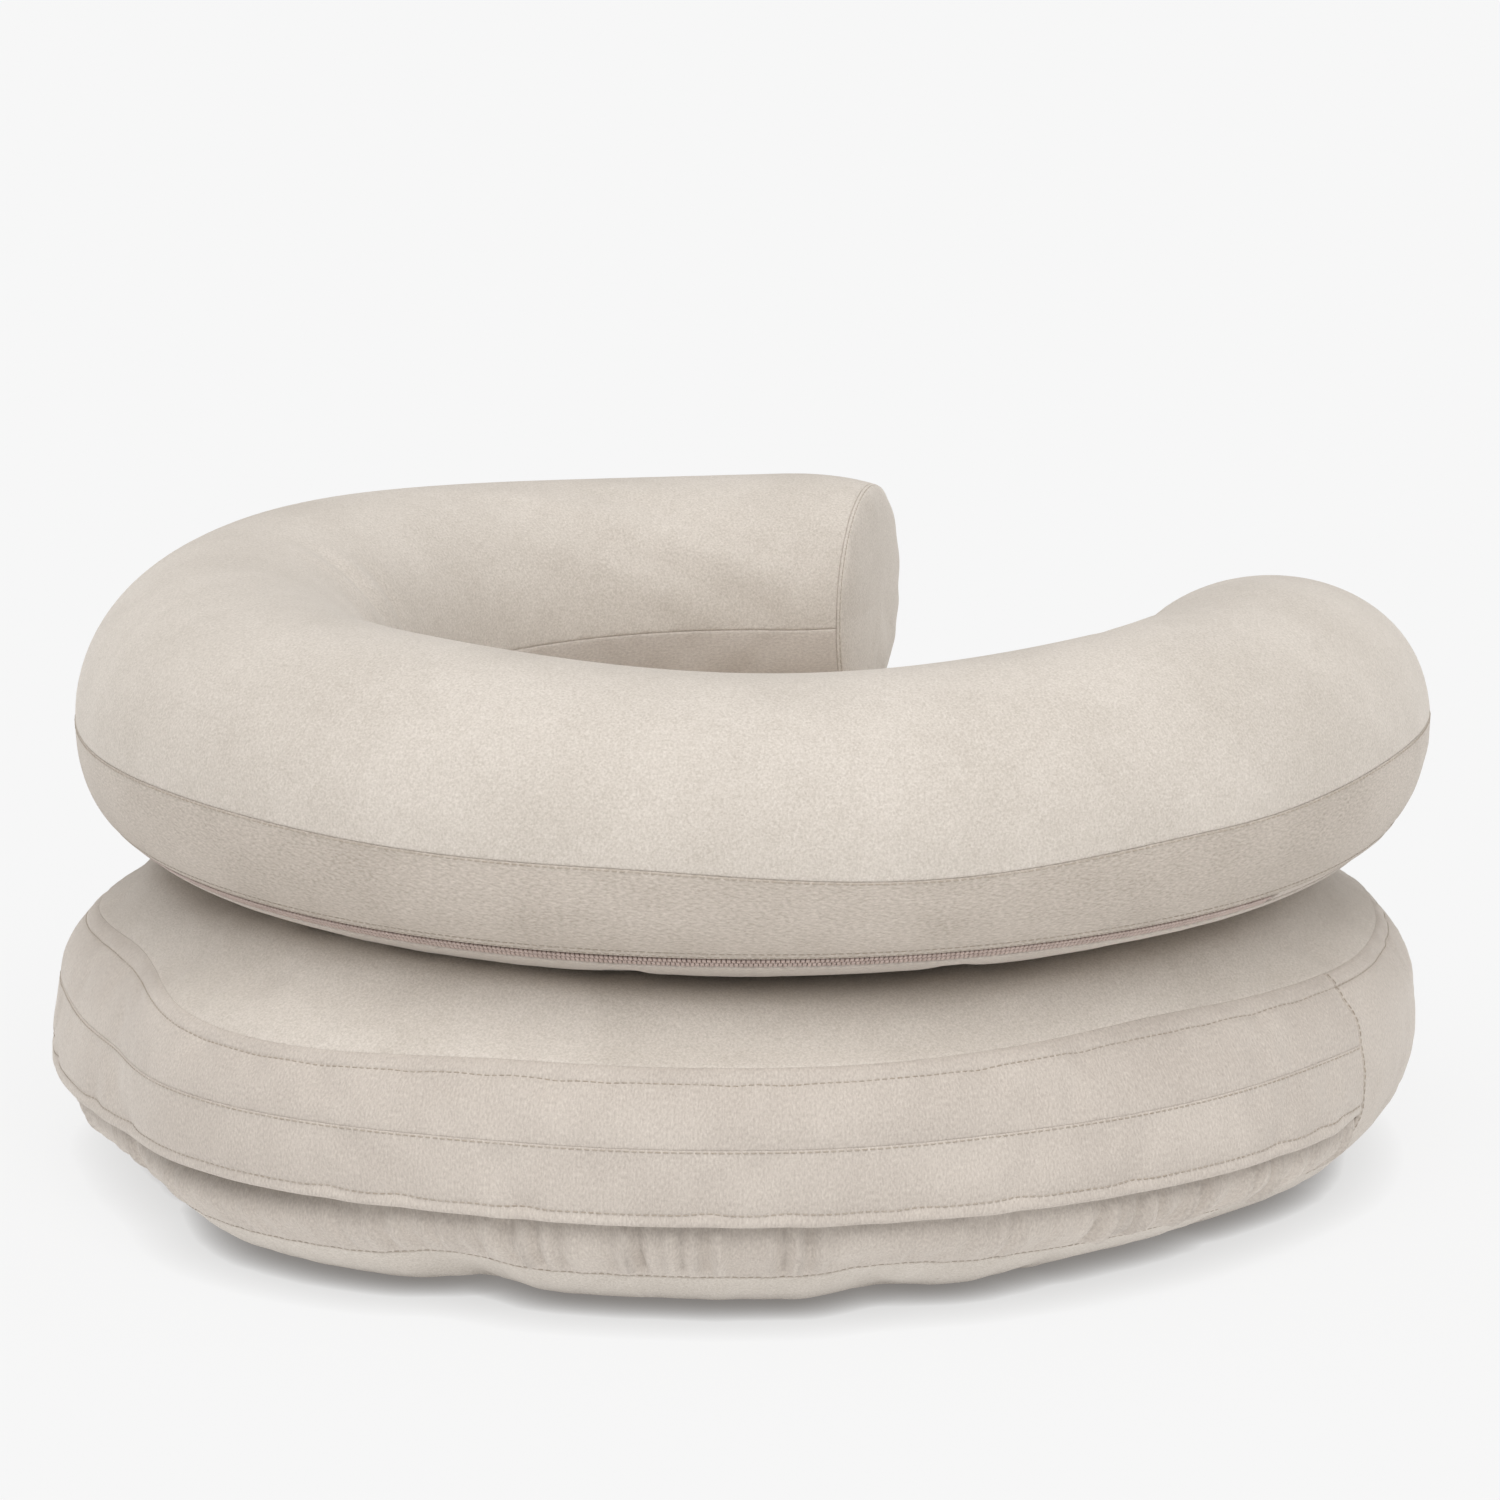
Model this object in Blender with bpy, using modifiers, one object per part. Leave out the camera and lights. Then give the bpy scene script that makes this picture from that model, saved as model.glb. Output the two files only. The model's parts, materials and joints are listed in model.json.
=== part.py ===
"""Floor seat set: a round zipped seat cushion with a C-shaped zipped bolster lying on it.

Metres, +Z up. The origin is the middle of the seat's underside, on the floor. The bolster's opening
faces -Y. Fabric panels are turned strips of one outline, moved in by their layer's depth, so that
cover, zip tapes, liner and filling lie parallel.
"""

import math

import bmesh
import bpy
from mathutils import Matrix, Vector

# Seat cushion
SEAT_RADIUS = 0.326
SEAT_HEIGHT = 0.155
SEAT_WIDEST_AT = 0.070
SEAT_FOOT_RADIUS = 0.255
CROWN_FLAT_RADIUS = 0.060
CROWN_POWER = 3.0
SOLE_POWER = 1.8
TOP_SEAM_HEIGHT = 0.117
MIDDLE_SEAM_HEIGHT = 0.085
LOWER_SEAM_HEIGHT = 0.021
FLAP_SEAM_HEIGHT = 0.073
FLAP_EDGE_HEIGHT = 0.0525
SEAT_ZIP_HEIGHT = 0.0585
SEAT_ZIP_RECESS = 0.007
RECESS_LEDGE = 0.002
RECESS_RUN = 0.004
FLAP_THICKNESS = 0.0022
FLAP_STAND_OFF = 0.0008
SEAT_STEPS = 40
SEAT_ZIP_STEPS = 25

# Bolster, in its own frame: the origin is the middle of the C in the plane of its outer seam
BOLSTER_RADIUS = 0.247
BOLSTER_HALF_WIDTH = 0.074
BOLSTER_UPPER = 0.072
BOLSTER_LOWER = 0.061
LOWER_POWER = 2.5
MOUTH_HALF_ANGLE = math.radians(34)
DOME_REACH = 0.016
BOLSTER_SHIFT = 0.012
BOLSTER_TILT = math.radians(1.8)
TILT_HEADING = math.radians(-132)
REST_GAP = 0.0015
BOLSTER_ZIP_REACH = 0.051
UNDER_HEM_REACH = 0.045
BOLSTER_STEPS = 30
PLAIN_STEPS = 4

# Cloth layers, each lying inside the one before; depths are measured inwards from the outline
COVER_THICKNESS = 0.0015
TAPE_THICKNESS = 0.0008
LINER_THICKNESS = 0.0006
LAYER_GAP = 0.0004
TAPE_DEPTH = COVER_THICKNESS + LAYER_GAP
LINER_DEPTH = TAPE_DEPTH + TAPE_THICKNESS + LAYER_GAP
FILLING_DEPTH = LINER_DEPTH + LINER_THICKNESS + LAYER_GAP
SEAM_GAP = 0.0003
SEAM_TURN_UNDER = 0.0006

# Zips
CHAIN_WIDTH = 0.007
CHAIN_THICKNESS = 0.0016
TAPE_REACH = 0.011
STOP_LENGTH = 0.005
SLIDER_LENGTH = 0.012
SLIDER_WIDTH = 0.0085
SLIDER_PLATE = 0.0016
SLIDER_LIFT = 0.0003
BAIL_WIDTH = 0.0018
BAIL_WALL = 0.0010
BAIL_SPACE = 0.0022
PULLER_THICKNESS = 0.0011
PULLER_WIDTH = 0.0060
PULLER_LENGTH = 0.0240
PULLER_PLAY = 0.0004

# Turning arcs, from +X: the seat's starts at its zip's first end, and the bolster's leaves its mouth open
TIER_START = math.radians(-22.5)
FULL_TURN = (TIER_START, TIER_START + math.tau)
BOLSTER_ARC = (MOUTH_HALF_ANGLE - math.pi / 2, 1.5 * math.pi - MOUTH_HALF_ANGLE)

# How finely the outlines are drawn
SHOULDER_SIDES = 5
BOLSTER_TOP_SIDES = 8
OUTER_TURNS = (math.radians(12), math.radians(26))
INNER_TURNS = (math.radians(35), math.radians(16))
DOME_TURNS = (math.radians(12), math.radians(32), math.radians(54), math.radians(74))
REST_SAMPLES = 24

# Finishes: colour, roughness, metallic
SUEDE = ((0.66, 0.61, 0.55), 0.9, 0.0)
SUEDE_SHADE = ((0.60, 0.55, 0.50), 0.9, 0.0)
LINING = ((0.80, 0.80, 0.78), 0.8, 0.0)
WADDING = ((0.88, 0.87, 0.84), 1.0, 0.0)
ZIP_NYLON = ((0.47, 0.41, 0.39), 0.5, 0.0)
ZIP_TAPE = ((0.52, 0.46, 0.43), 0.8, 0.0)
NICKEL = ((0.60, 0.58, 0.55), 0.35, 1.0)


def spread(start, end, parts):
    """Evenly spaced values from start to end, both included."""
    return [start + (end - start) * i / parts for i in range(parts + 1)]


def clear_scene():
    for thing in list(bpy.data.objects):
        bpy.data.objects.remove(thing, do_unlink=True)


def collection_named(name):
    group = bpy.data.collections.new(name)
    bpy.context.scene.collection.children.link(group)
    return group


def material_for(name, finish):
    """Each piece has its own material, so that one can be recoloured alone."""
    colour, roughness, metallic = finish
    material = bpy.data.materials.new(name)
    material.use_nodes = True
    shader = material.node_tree.nodes["Principled BSDF"]
    shader.inputs["Base Color"].default_value = (*colour, 1)
    shader.inputs["Roughness"].default_value = roughness
    shader.inputs["Metallic"].default_value = metallic
    return material


def mesh_from(name, form):
    mesh = bpy.data.meshes.new(name)
    form.to_mesh(mesh)
    form.free()
    return mesh


def new_object(name, mesh, finish, group, parent=None):
    thing = bpy.data.objects.new(name, mesh)
    thing.data.materials.append(material_for(name, finish))
    thing.parent = parent
    group.objects.link(thing)
    return thing


# ---- outlines ----------------------------------------------------------------------------------


def seat_height_at(radius):
    """Height of the crown at a distance from the seat's axis."""
    share = min(radius / SEAT_RADIUS, 1.0)
    rise = SEAT_HEIGHT - SEAT_WIDEST_AT
    return SEAT_WIDEST_AT + rise * (1 - share**CROWN_POWER) ** (1 / CROWN_POWER)


def seat_radius_at(height):
    """Distance of the seat's side wall from its axis at a height."""
    if height >= SEAT_WIDEST_AT:
        share = (height - SEAT_WIDEST_AT) / (SEAT_HEIGHT - SEAT_WIDEST_AT)
        return SEAT_RADIUS * (1 - share**CROWN_POWER) ** (1 / CROWN_POWER)
    share = (SEAT_WIDEST_AT - height) / SEAT_WIDEST_AT
    bulge = (1 - share**SOLE_POWER) ** (1 / SOLE_POWER)
    return SEAT_FOOT_RADIUS + (SEAT_RADIUS - SEAT_FOOT_RADIUS) * bulge


def seat_outline(recess):
    """Half section of the seat, from the crown's centre out and down to the middle of its underside.

    The wall steps in by recess above the zip, and comes back out towards the lower seam.
    Returns the points, the index of each named one, and which ones the inner layers leave out.
    """
    points, marks, fine = [], {}, set()

    def add(radius, height, mark=None, cover_only=False):
        if mark:
            marks[mark] = len(points)
        if cover_only:
            fine.add(len(points))
        points.append(Vector((radius, height)))

    def add_side(height, mark=None, cover_only=False):
        fade = (height - LOWER_SEAM_HEIGHT) / (zip_top - LOWER_SEAM_HEIGHT)
        inward = recess * min(fade, 1.0) if height <= zip_top + RECESS_LEDGE else 0.0
        add(seat_radius_at(height) - inward, height, mark, cover_only)

    zip_top = SEAT_ZIP_HEIGHT + CHAIN_WIDTH / 2
    zip_foot = SEAT_ZIP_HEIGHT - CHAIN_WIDTH / 2
    flat_height = seat_height_at(CROWN_FLAT_RADIUS)
    add(0.0, flat_height, "crown")
    shoulder = spread(CROWN_FLAT_RADIUS, seat_radius_at(TOP_SEAM_HEIGHT), SHOULDER_SIDES)[:-1]
    for i, radius in enumerate(shoulder):
        add(radius, seat_height_at(radius), cover_only=i % 2 == 1)
    add_side(TOP_SEAM_HEIGHT, "top_seam")
    add_side((TOP_SEAM_HEIGHT + MIDDLE_SEAM_HEIGHT) / 2, cover_only=True)
    add_side(MIDDLE_SEAM_HEIGHT, "middle_seam")
    add_side(FLAP_SEAM_HEIGHT, "flap_seam")
    add_side(zip_top + RECESS_LEDGE + RECESS_RUN, "tape_top", cover_only=True)
    add_side(zip_top + RECESS_LEDGE)
    add_side(zip_top, "zip_top")
    add_side(SEAT_ZIP_HEIGHT, "zip_middle", cover_only=True)
    add_side(zip_foot, "zip_foot")
    add_side(zip_foot - TAPE_REACH, "tape_foot")
    add_side(LOWER_SEAM_HEIGHT, "lower_seam")
    add_side(LOWER_SEAM_HEIGHT / 3, cover_only=True)
    add(SEAT_FOOT_RADIUS, 0.0)
    add(0.0, 0.0, "sole")
    return points, marks, fine


def section_drop(across):
    """How far the bolster's underside lies below its seam, at a distance from the section's middle."""
    share = min(abs(across) / BOLSTER_HALF_WIDTH, 1.0)
    return BOLSTER_LOWER * (1 - share**LOWER_POWER) ** (1 / LOWER_POWER)


def bolster_section():
    """Closed section of the bolster, clockwise from its inner seam over the top.

    Its inner layers leave out every second point.
    """
    points, marks = [], {}

    def add(across, height, mark=None):
        if mark:
            marks[mark] = len(points)
        points.append(Vector((BOLSTER_RADIUS + across, height)))

    marks["inner_seam"] = 0
    for turn in spread(math.pi, 0.0, BOLSTER_TOP_SIDES):
        add(BOLSTER_HALF_WIDTH * math.cos(turn), BOLSTER_UPPER * math.sin(turn))
    marks["outer_seam"] = len(points) - 1
    slope = math.atan2(
        section_drop(BOLSTER_ZIP_REACH - CHAIN_WIDTH) - section_drop(BOLSTER_ZIP_REACH), CHAIN_WIDTH
    )
    chain_run = CHAIN_WIDTH * math.cos(slope)
    for turn in OUTER_TURNS:
        across = BOLSTER_HALF_WIDTH * math.cos(turn) ** (2 / LOWER_POWER)
        add(across, -section_drop(across))
    across = BOLSTER_ZIP_REACH + TAPE_REACH * math.cos(slope)
    add(across, -section_drop(across), "tape_top")
    for share, mark in ((0.0, "zip_top"), (0.5, "zip_middle"), (1.0, "zip_foot")):
        across = BOLSTER_ZIP_REACH - chain_run * share
        add(across, -section_drop(across), mark)
    across = BOLSTER_ZIP_REACH - chain_run - TAPE_REACH * math.cos(slope)
    add(across, -section_drop(across), "tape_foot")
    add(0.0, -section_drop(0.0))
    add(-UNDER_HEM_REACH, -section_drop(UNDER_HEM_REACH), "under_hem")
    for turn in INNER_TURNS:
        across = -BOLSTER_HALF_WIDTH * math.cos(turn) ** (2 / LOWER_POWER)
        add(across, -section_drop(across))
    return points, marks, set(range(1, len(points), 2))


def inset(points, depth, closed):
    """The outline moved inwards by a depth, point by point, each side staying parallel to itself."""
    moved = []
    last = len(points) - 1
    for i, point in enumerate(points):
        before = point - points[i - 1] if closed or i > 0 else points[1] - point
        after = points[(i + 1) % len(points)] - point if closed or i < last else before
        sides = [Vector((side.y, -side.x)).normalized() for side in (before, after)]
        mitre = (sides[0] + sides[1]) / (1 + sides[0].dot(sides[1]))
        moved.append(point + mitre * depth)
    return moved


def strip_points(outline, start, end, depth, closed=False, trim=SEAM_TURN_UNDER, inner=False):
    """The stretch of an outline between two named points, at a depth, cut back a little at both ends."""
    points, marks, fine = outline
    moved = inset(points, depth, closed)
    first, last = marks[start], marks[end]
    if last <= first:
        last += len(points)
    left_out = fine if inner else ()
    strip = [moved[i % len(points)].copy() for i in range(first, last + 1) if i not in left_out]
    for end_at, beside in ((0, 1), (-1, -2)):
        if strip[end_at].x > 0:
            strip[end_at] += (strip[beside] - strip[end_at]).normalized() * trim
    return strip


# ---- shapes from outlines ------------------------------------------------------------------------


def wire_mesh(name, points, heading):
    """An outline as a wire that stands on a heading from the axis."""
    flat = bmesh.new()
    across = Vector((math.cos(heading), math.sin(heading), 0.0))
    corners = [flat.verts.new(across * point.x + Vector((0, 0, point.y))) for point in points]
    for first, second in zip(corners, corners[1:]):
        flat.edges.new((first, second))
    return mesh_from(name, flat)


def add_turn(thing, angle, steps):
    turn = thing.modifiers.new("Turn", "SCREW")
    turn.axis = "Z"
    turn.angle = angle
    turn.steps = steps
    turn.render_steps = steps
    turn.use_merge_vertices = True
    turn.merge_threshold = 0.00001
    turn.use_smooth_shade = True


def add_wall(thing, thickness):
    wall = thing.modifiers.new("Wall", "SOLIDIFY")
    wall.thickness = thickness
    wall.offset = -1.0
    wall.use_even_offset = True
    wall.use_quality_normals = True


def turned_strip(name, points, arc, steps, thickness, finish, group, parent=None):
    """A panel of cloth: a stretch of outline turned along an arc about the axis, with a thickness."""
    start, end = arc
    thing = new_object(name, wire_mesh(name, points, start), finish, group, parent)
    add_turn(thing, end - start, steps)
    add_wall(thing, thickness)
    return thing


def seat_arc(first, last):
    """An arc of the seat between two of its turning steps, counted from the first zip end."""
    step = math.tau / SEAT_STEPS
    return FULL_TURN[0] + first * step, FULL_TURN[0] + last * step


def bolster_arc(first, last):
    step = (BOLSTER_ARC[1] - BOLSTER_ARC[0]) / BOLSTER_STEPS
    return BOLSTER_ARC[0] + first * step, BOLSTER_ARC[0] + last * step


def dome_rings(points, depth, heading, side, start):
    """The bolster's end as rings of points: the section, pushed out and drawn in like a cushion's end."""
    along = Vector((-math.sin(heading), math.cos(heading), 0.0)) * side
    across = Vector((math.cos(heading), math.sin(heading), 0.0))
    middle = Vector((BOLSTER_RADIUS, (BOLSTER_UPPER - BOLSTER_LOWER) / 2))
    rings = []
    for turn in (start, *DOME_TURNS):
        push = (DOME_REACH - depth) * math.sin(turn)
        shrink = math.sqrt(math.cos(turn))
        ring = [middle + (point - middle) * shrink for point in points]
        rings.append([across * p.x + Vector((0, 0, p.y)) + along * push for p in ring])
    return rings


def loft(rings):
    """A skin through rings of points, each joined to the next; both ends stay open."""
    skin = bmesh.new()
    loops = []
    for ring in rings:
        corners = [skin.verts.new(point) for point in ring]
        loops.append([skin.edges.new(pair) for pair in zip(corners, corners[1:] + corners[:1])])
    for lower, upper in zip(loops, loops[1:]):
        bmesh.ops.bridge_loops(skin, edges=lower + upper)
    return skin, loops


def bolster_rings(depth):
    """Rings of an inner layer along the whole bolster, one end's dome to the other's."""
    points, _, fine = bolster_section()
    moved = [p for i, p in enumerate(inset(points, depth, closed=True)) if i not in fine]
    rings = dome_rings(moved, depth, BOLSTER_ARC[0], -1, 0.0)[::-1]
    for heading in spread(*BOLSTER_ARC, BOLSTER_STEPS)[1:-1]:
        across = Vector((math.cos(heading), math.sin(heading), 0.0))
        rings.append([across * p.x + Vector((0, 0, p.y)) for p in moved])
    return rings + dome_rings(moved, depth, BOLSTER_ARC[1], 1, 0.0)


def bolster_body(name, depth, finish, group, parent):
    """The stuffed form: a closed C with domed ends."""
    skin, loops = loft(bolster_rings(depth))
    for loop in (loops[0], loops[-1]):
        bmesh.ops.edgeloop_fill(skin, edges=loop)
    bmesh.ops.recalc_face_normals(skin, faces=skin.faces)
    return new_object(name, mesh_from(name, skin), finish, group, parent)


def bolster_liner_half(name, keep_top, group, parent):
    """One half of the bolster's inner bag, cut along the plane of the seams."""
    skin, loops = loft(bolster_rings(LINER_DEPTH))
    for loop in (loops[0], loops[-1]):
        bmesh.ops.edgeloop_fill(skin, edges=loop)
    bmesh.ops.recalc_face_normals(skin, faces=skin.faces)
    height = SEAM_GAP / 2 if keep_top else -SEAM_GAP / 2
    bmesh.ops.bisect_plane(
        skin,
        geom=skin.verts[:] + skin.edges[:] + skin.faces[:],
        plane_co=(0, 0, height),
        plane_no=(0, 0, 1),
        clear_inner=keep_top,
        clear_outer=not keep_top,
    )
    thing = new_object(name, mesh_from(name, skin), LINING, group, parent)
    add_wall(thing, LINER_THICKNESS)
    return thing


def bolster_end_panel(name, heading, side, group, parent):
    points, _, _ = bolster_section()
    start = math.asin((SEAM_GAP + COVER_THICKNESS / 4) / DOME_REACH)
    skin, loops = loft(dome_rings(points, 0.0, heading, side, start))
    bmesh.ops.edgeloop_fill(skin, edges=loops[-1])
    bmesh.ops.recalc_face_normals(skin, faces=skin.faces)
    outward = Vector((-math.sin(heading), math.cos(heading), 0.0)) * side
    cap = max(skin.faces, key=lambda face: face.calc_center_median().dot(outward))
    if cap.normal.dot(outward) < 0:
        bmesh.ops.reverse_faces(skin, faces=skin.faces)
    thing = new_object(name, mesh_from(name, skin), SUEDE, group, parent)
    add_wall(thing, COVER_THICKNESS)
    return thing


# ---- zips ------------------------------------------------------------------------------------------


def zip_frame(outline, heading):
    """Where a zip's slider stands: X along the chain, Y across it and up, Z out of the cloth."""
    points, marks, _ = outline
    top, foot = points[marks["zip_top"]], points[marks["zip_foot"]]
    middle, up = (top + foot) / 2, (top - foot).normalized()
    out = Vector((math.cos(heading), math.sin(heading), 0.0))
    along = Vector((-math.sin(heading), math.cos(heading), 0.0))
    across = out * up.x + Vector((0, 0, up.y))
    place = out * middle.x + Vector((0, 0, middle.y))
    turn = Matrix((along, across, along.cross(across))).transposed()
    return Matrix.Translation(place) @ turn.to_4x4()


def add_box(form, low, high):
    size = Vector(high) - Vector(low)
    place = Matrix.Translation((Vector(low) + Vector(high)) / 2) @ Matrix.Diagonal((*size, 1))
    return bmesh.ops.create_cube(form, size=1, matrix=place)["verts"]


def box_object(name, low, high, group):
    form = bmesh.new()
    add_box(form, low, high)
    thing = bpy.data.objects.new(name, mesh_from(name, form))
    group.objects.link(thing)
    thing.hide_render = True
    thing.display_type = "WIRE"
    return thing


def add_boolean(thing, other, operation):
    tool = thing.modifiers.new(operation.title(), "BOOLEAN")
    tool.operation = operation
    tool.object = other


def slider(name, place, finish, group, cutters, parent):
    """A zip slider: a tapered top plate with a bail, whose eye the puller's bar turns in."""
    form = bmesh.new()
    foot = SLIDER_LIFT
    add_box(
        form,
        (-SLIDER_LENGTH / 2, -SLIDER_WIDTH / 2, foot),
        (SLIDER_LENGTH / 2, SLIDER_WIDTH / 2, foot + SLIDER_PLATE),
    )
    upright = [e for e in form.edges if abs(e.verts[0].co.z - e.verts[1].co.z) > SLIDER_PLATE / 2]
    bmesh.ops.bevel(
        form, geom=upright, offset=SLIDER_WIDTH / 4, segments=3, profile=0.5, affect="EDGES"
    )
    thing = new_object(name, mesh_from(name, form), finish, group, parent)
    thing.matrix_local = place
    plate_top = foot + SLIDER_PLATE
    reach = BAIL_SPACE / 2 + BAIL_WALL
    half = BAIL_WIDTH / 2
    bail = box_object(
        name + "_bail",
        (-reach, -half, plate_top - SLIDER_PLATE / 2),
        (reach, half, plate_top + BAIL_SPACE + BAIL_WALL),
        cutters,
    )
    eye = box_object(
        name + "_eye",
        (-BAIL_SPACE / 2, -SLIDER_WIDTH, plate_top),
        (BAIL_SPACE / 2, SLIDER_WIDTH, plate_top + BAIL_SPACE),
        cutters,
    )
    for other, operation in ((bail, "UNION"), (eye, "DIFFERENCE")):
        other.parent = parent
        other.matrix_local = place
        add_boolean(thing, other, operation)
    return thing


def puller(name, place, finish, group, cutters, parent):
    """A flat zip puller lying along the chain; its origin is the bar that turns in the slider's eye."""
    hinge = place @ Matrix.Translation((0, 0, SLIDER_LIFT + SLIDER_PLATE + BAIL_SPACE / 2))
    half = PULLER_THICKNESS / 2
    form = bmesh.new()
    add_box(form, (-half, -PULLER_WIDTH / 2, -half), (PULLER_LENGTH, PULLER_WIDTH / 2, half))
    corners = [
        e
        for e in form.edges
        if abs(e.verts[0].co.z - e.verts[1].co.z) > half and e.verts[0].co.x > PULLER_LENGTH / 2
    ]
    bmesh.ops.bevel(
        form, geom=corners, offset=PULLER_WIDTH / 3, segments=3, profile=0.5, affect="EDGES"
    )
    thing = new_object(name, mesh_from(name, form), finish, group, parent)
    thing.matrix_local = hinge
    reach = math.hypot(BAIL_SPACE / 2 + BAIL_WALL, BAIL_SPACE / 2 + BAIL_WALL) + PULLER_PLAY
    window = box_object(
        name + "_window",
        (half, -BAIL_WIDTH / 2 - PULLER_PLAY, -2 * half),
        (reach, BAIL_WIDTH / 2 + PULLER_PLAY, 2 * half),
        cutters,
    )
    window.parent = parent
    window.matrix_local = hinge
    add_boolean(thing, window, "DIFFERENCE")
    return thing


def zip_set(stem, outline, arc, steps, closed, group, parent):
    """Tapes, chain and end stops of one zip, between the named zip marks of an outline."""
    start, end = arc
    radius = outline[0][outline[1]["zip_middle"]].x
    stop_turn = STOP_LENGTH / radius
    gap_turn = SEAM_GAP / radius
    for part, first, last in (
        ("tape_upper", "tape_top", "zip_middle"),
        ("tape_lower", "zip_middle", "tape_foot"),
    ):
        points = strip_points(outline, first, last, TAPE_DEPTH, closed)
        turned_strip(f"{stem}_zip_{part}", points, arc, steps, TAPE_THICKNESS, ZIP_TAPE, group, parent)
    chain = strip_points(outline, "zip_top", "zip_foot", 0.0, closed)
    step = (end - start) / steps
    turned_strip(
        f"{stem}_zip_chain",
        chain,
        (start + step, end - step),
        steps - 2,
        CHAIN_THICKNESS,
        ZIP_NYLON,
        group,
        parent,
    )
    for side, first in (
        ("left", start + step - gap_turn - stop_turn),
        ("right", end - step + gap_turn),
    ):
        turned_strip(
            f"{stem}_zip_stop_{side}",
            chain,
            (first, first + stop_turn),
            1,
            CHAIN_THICKNESS,
            NICKEL,
            group,
            parent,
        )


# ---- the two cushions --------------------------------------------------------------------------------


def build_seat(group, cutters):
    outline = seat_outline(SEAT_ZIP_RECESS)
    points, marks, _ = outline
    plain = seat_outline(0.0)
    zipped, front = seat_arc(0, SEAT_ZIP_STEPS), seat_arc(SEAT_ZIP_STEPS, SEAT_STEPS)
    seam_turn = SEAM_TURN_UNDER / SEAT_RADIUS

    body = strip_points(outline, "crown", "sole", FILLING_DEPTH, trim=0.0, inner=True)
    filling = new_object(
        "seat_filling", wire_mesh("seat_filling", body, FULL_TURN[0]), WADDING, group
    )
    add_turn(filling, math.tau, SEAT_STEPS)
    for name, first, last in (
        ("seat_liner_top", "crown", "middle_seam"),
        ("seat_liner_bottom", "middle_seam", "sole"),
    ):
        strip = strip_points(outline, first, last, LINER_DEPTH, inner=True)
        turned_strip(name, strip, FULL_TURN, SEAT_STEPS, LINER_THICKNESS, LINING, group)
    for name, first, last in (
        ("seat_top_panel", "crown", "top_seam"),
        ("seat_bottom_panel", "lower_seam", "sole"),
    ):
        strip = strip_points(outline, first, last, 0.0)
        turned_strip(name, strip, FULL_TURN, SEAT_STEPS, COVER_THICKNESS, SUEDE, group)
    for name, first, last in (
        ("seat_upper_band", "top_seam", "middle_seam"),
        ("seat_middle_band", "middle_seam", "zip_top"),
        ("seat_lower_band", "zip_foot", "lower_seam"),
    ):
        strip = strip_points(outline, first, last, 0.0)
        turned_strip(name, strip, zipped, SEAT_ZIP_STEPS, COVER_THICKNESS, SUEDE, group)
    strip = strip_points(plain, "top_seam", "lower_seam", 0.0)
    arc = (front[0] + seam_turn, front[1] - seam_turn)
    steps = SEAT_STEPS - SEAT_ZIP_STEPS
    turned_strip("seat_front_band", strip, arc, steps, COVER_THICKNESS, SUEDE, group)

    out = FLAP_STAND_OFF + FLAP_THICKNESS
    top = points[marks["flap_seam"]]
    flap = [Vector((top.x + out, top.y)), Vector((SEAT_RADIUS + out, FLAP_EDGE_HEIGHT))]
    turned_strip(
        "seat_zip_flap", flap, zipped, SEAT_ZIP_STEPS, FLAP_THICKNESS, SUEDE_SHADE, group
    )
    zip_set("seat", outline, zipped, SEAT_ZIP_STEPS, False, group, None)
    return outline, zipped


def bolster_frame(group):
    """The bolster's own frame: as low as its underside can lie on the seat's crown, tilted a little."""
    lift = max(
        seat_height_at(max(BOLSTER_RADIUS + across - BOLSTER_SHIFT, 0.0))
        + section_drop(across)
        + (BOLSTER_RADIUS + across) * math.sin(BOLSTER_TILT)
        for across in spread(-BOLSTER_HALF_WIDTH, BOLSTER_HALF_WIDTH, REST_SAMPLES)
    )
    frame = bpy.data.objects.new("bolster_frame", None)
    heading = Vector((math.cos(TILT_HEADING), math.sin(TILT_HEADING), 0.0))
    frame.matrix_world = Matrix.Translation((0, -BOLSTER_SHIFT, lift + REST_GAP)) @ Matrix.Rotation(
        BOLSTER_TILT, 4, heading
    )
    group.objects.link(frame)
    return frame


def build_bolster(group, frame):
    outline = bolster_section()
    bolster_body("bolster_filling", FILLING_DEPTH, WADDING, group, frame)
    bolster_liner_half("bolster_liner_top", True, group, frame)
    bolster_liner_half("bolster_liner_bottom", False, group, frame)
    for name, first, last in (
        ("bolster_top_panel", "inner_seam", "outer_seam"),
        ("bolster_outer_band", "outer_seam", "zip_top"),
        ("bolster_under_panel", "zip_foot", "under_hem"),
        ("bolster_inner_band", "under_hem", "inner_seam"),
    ):
        strip = strip_points(outline, first, last, 0.0, closed=True)
        turned_strip(
            name, strip, BOLSTER_ARC, BOLSTER_STEPS, COVER_THICKNESS, SUEDE, group, frame
        )
    bolster_end_panel("bolster_end_panel_left", BOLSTER_ARC[1], 1, group, frame)
    bolster_end_panel("bolster_end_panel_right", BOLSTER_ARC[0], -1, group, frame)

    zipped = bolster_arc(PLAIN_STEPS, BOLSTER_STEPS - PLAIN_STEPS)
    slot = strip_points(outline, "zip_top", "zip_foot", 0.0, closed=True)
    for name, arc in (
        ("bolster_zip_facing_right", bolster_arc(0, PLAIN_STEPS)),
        ("bolster_zip_facing_left", bolster_arc(BOLSTER_STEPS - PLAIN_STEPS, BOLSTER_STEPS)),
    ):
        turned_strip(name, slot, arc, PLAIN_STEPS, COVER_THICKNESS, SUEDE_SHADE, group, frame)
    zip_set("bolster", outline, zipped, BOLSTER_STEPS - 2 * PLAIN_STEPS, True, group, frame)
    return outline, zipped


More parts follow.
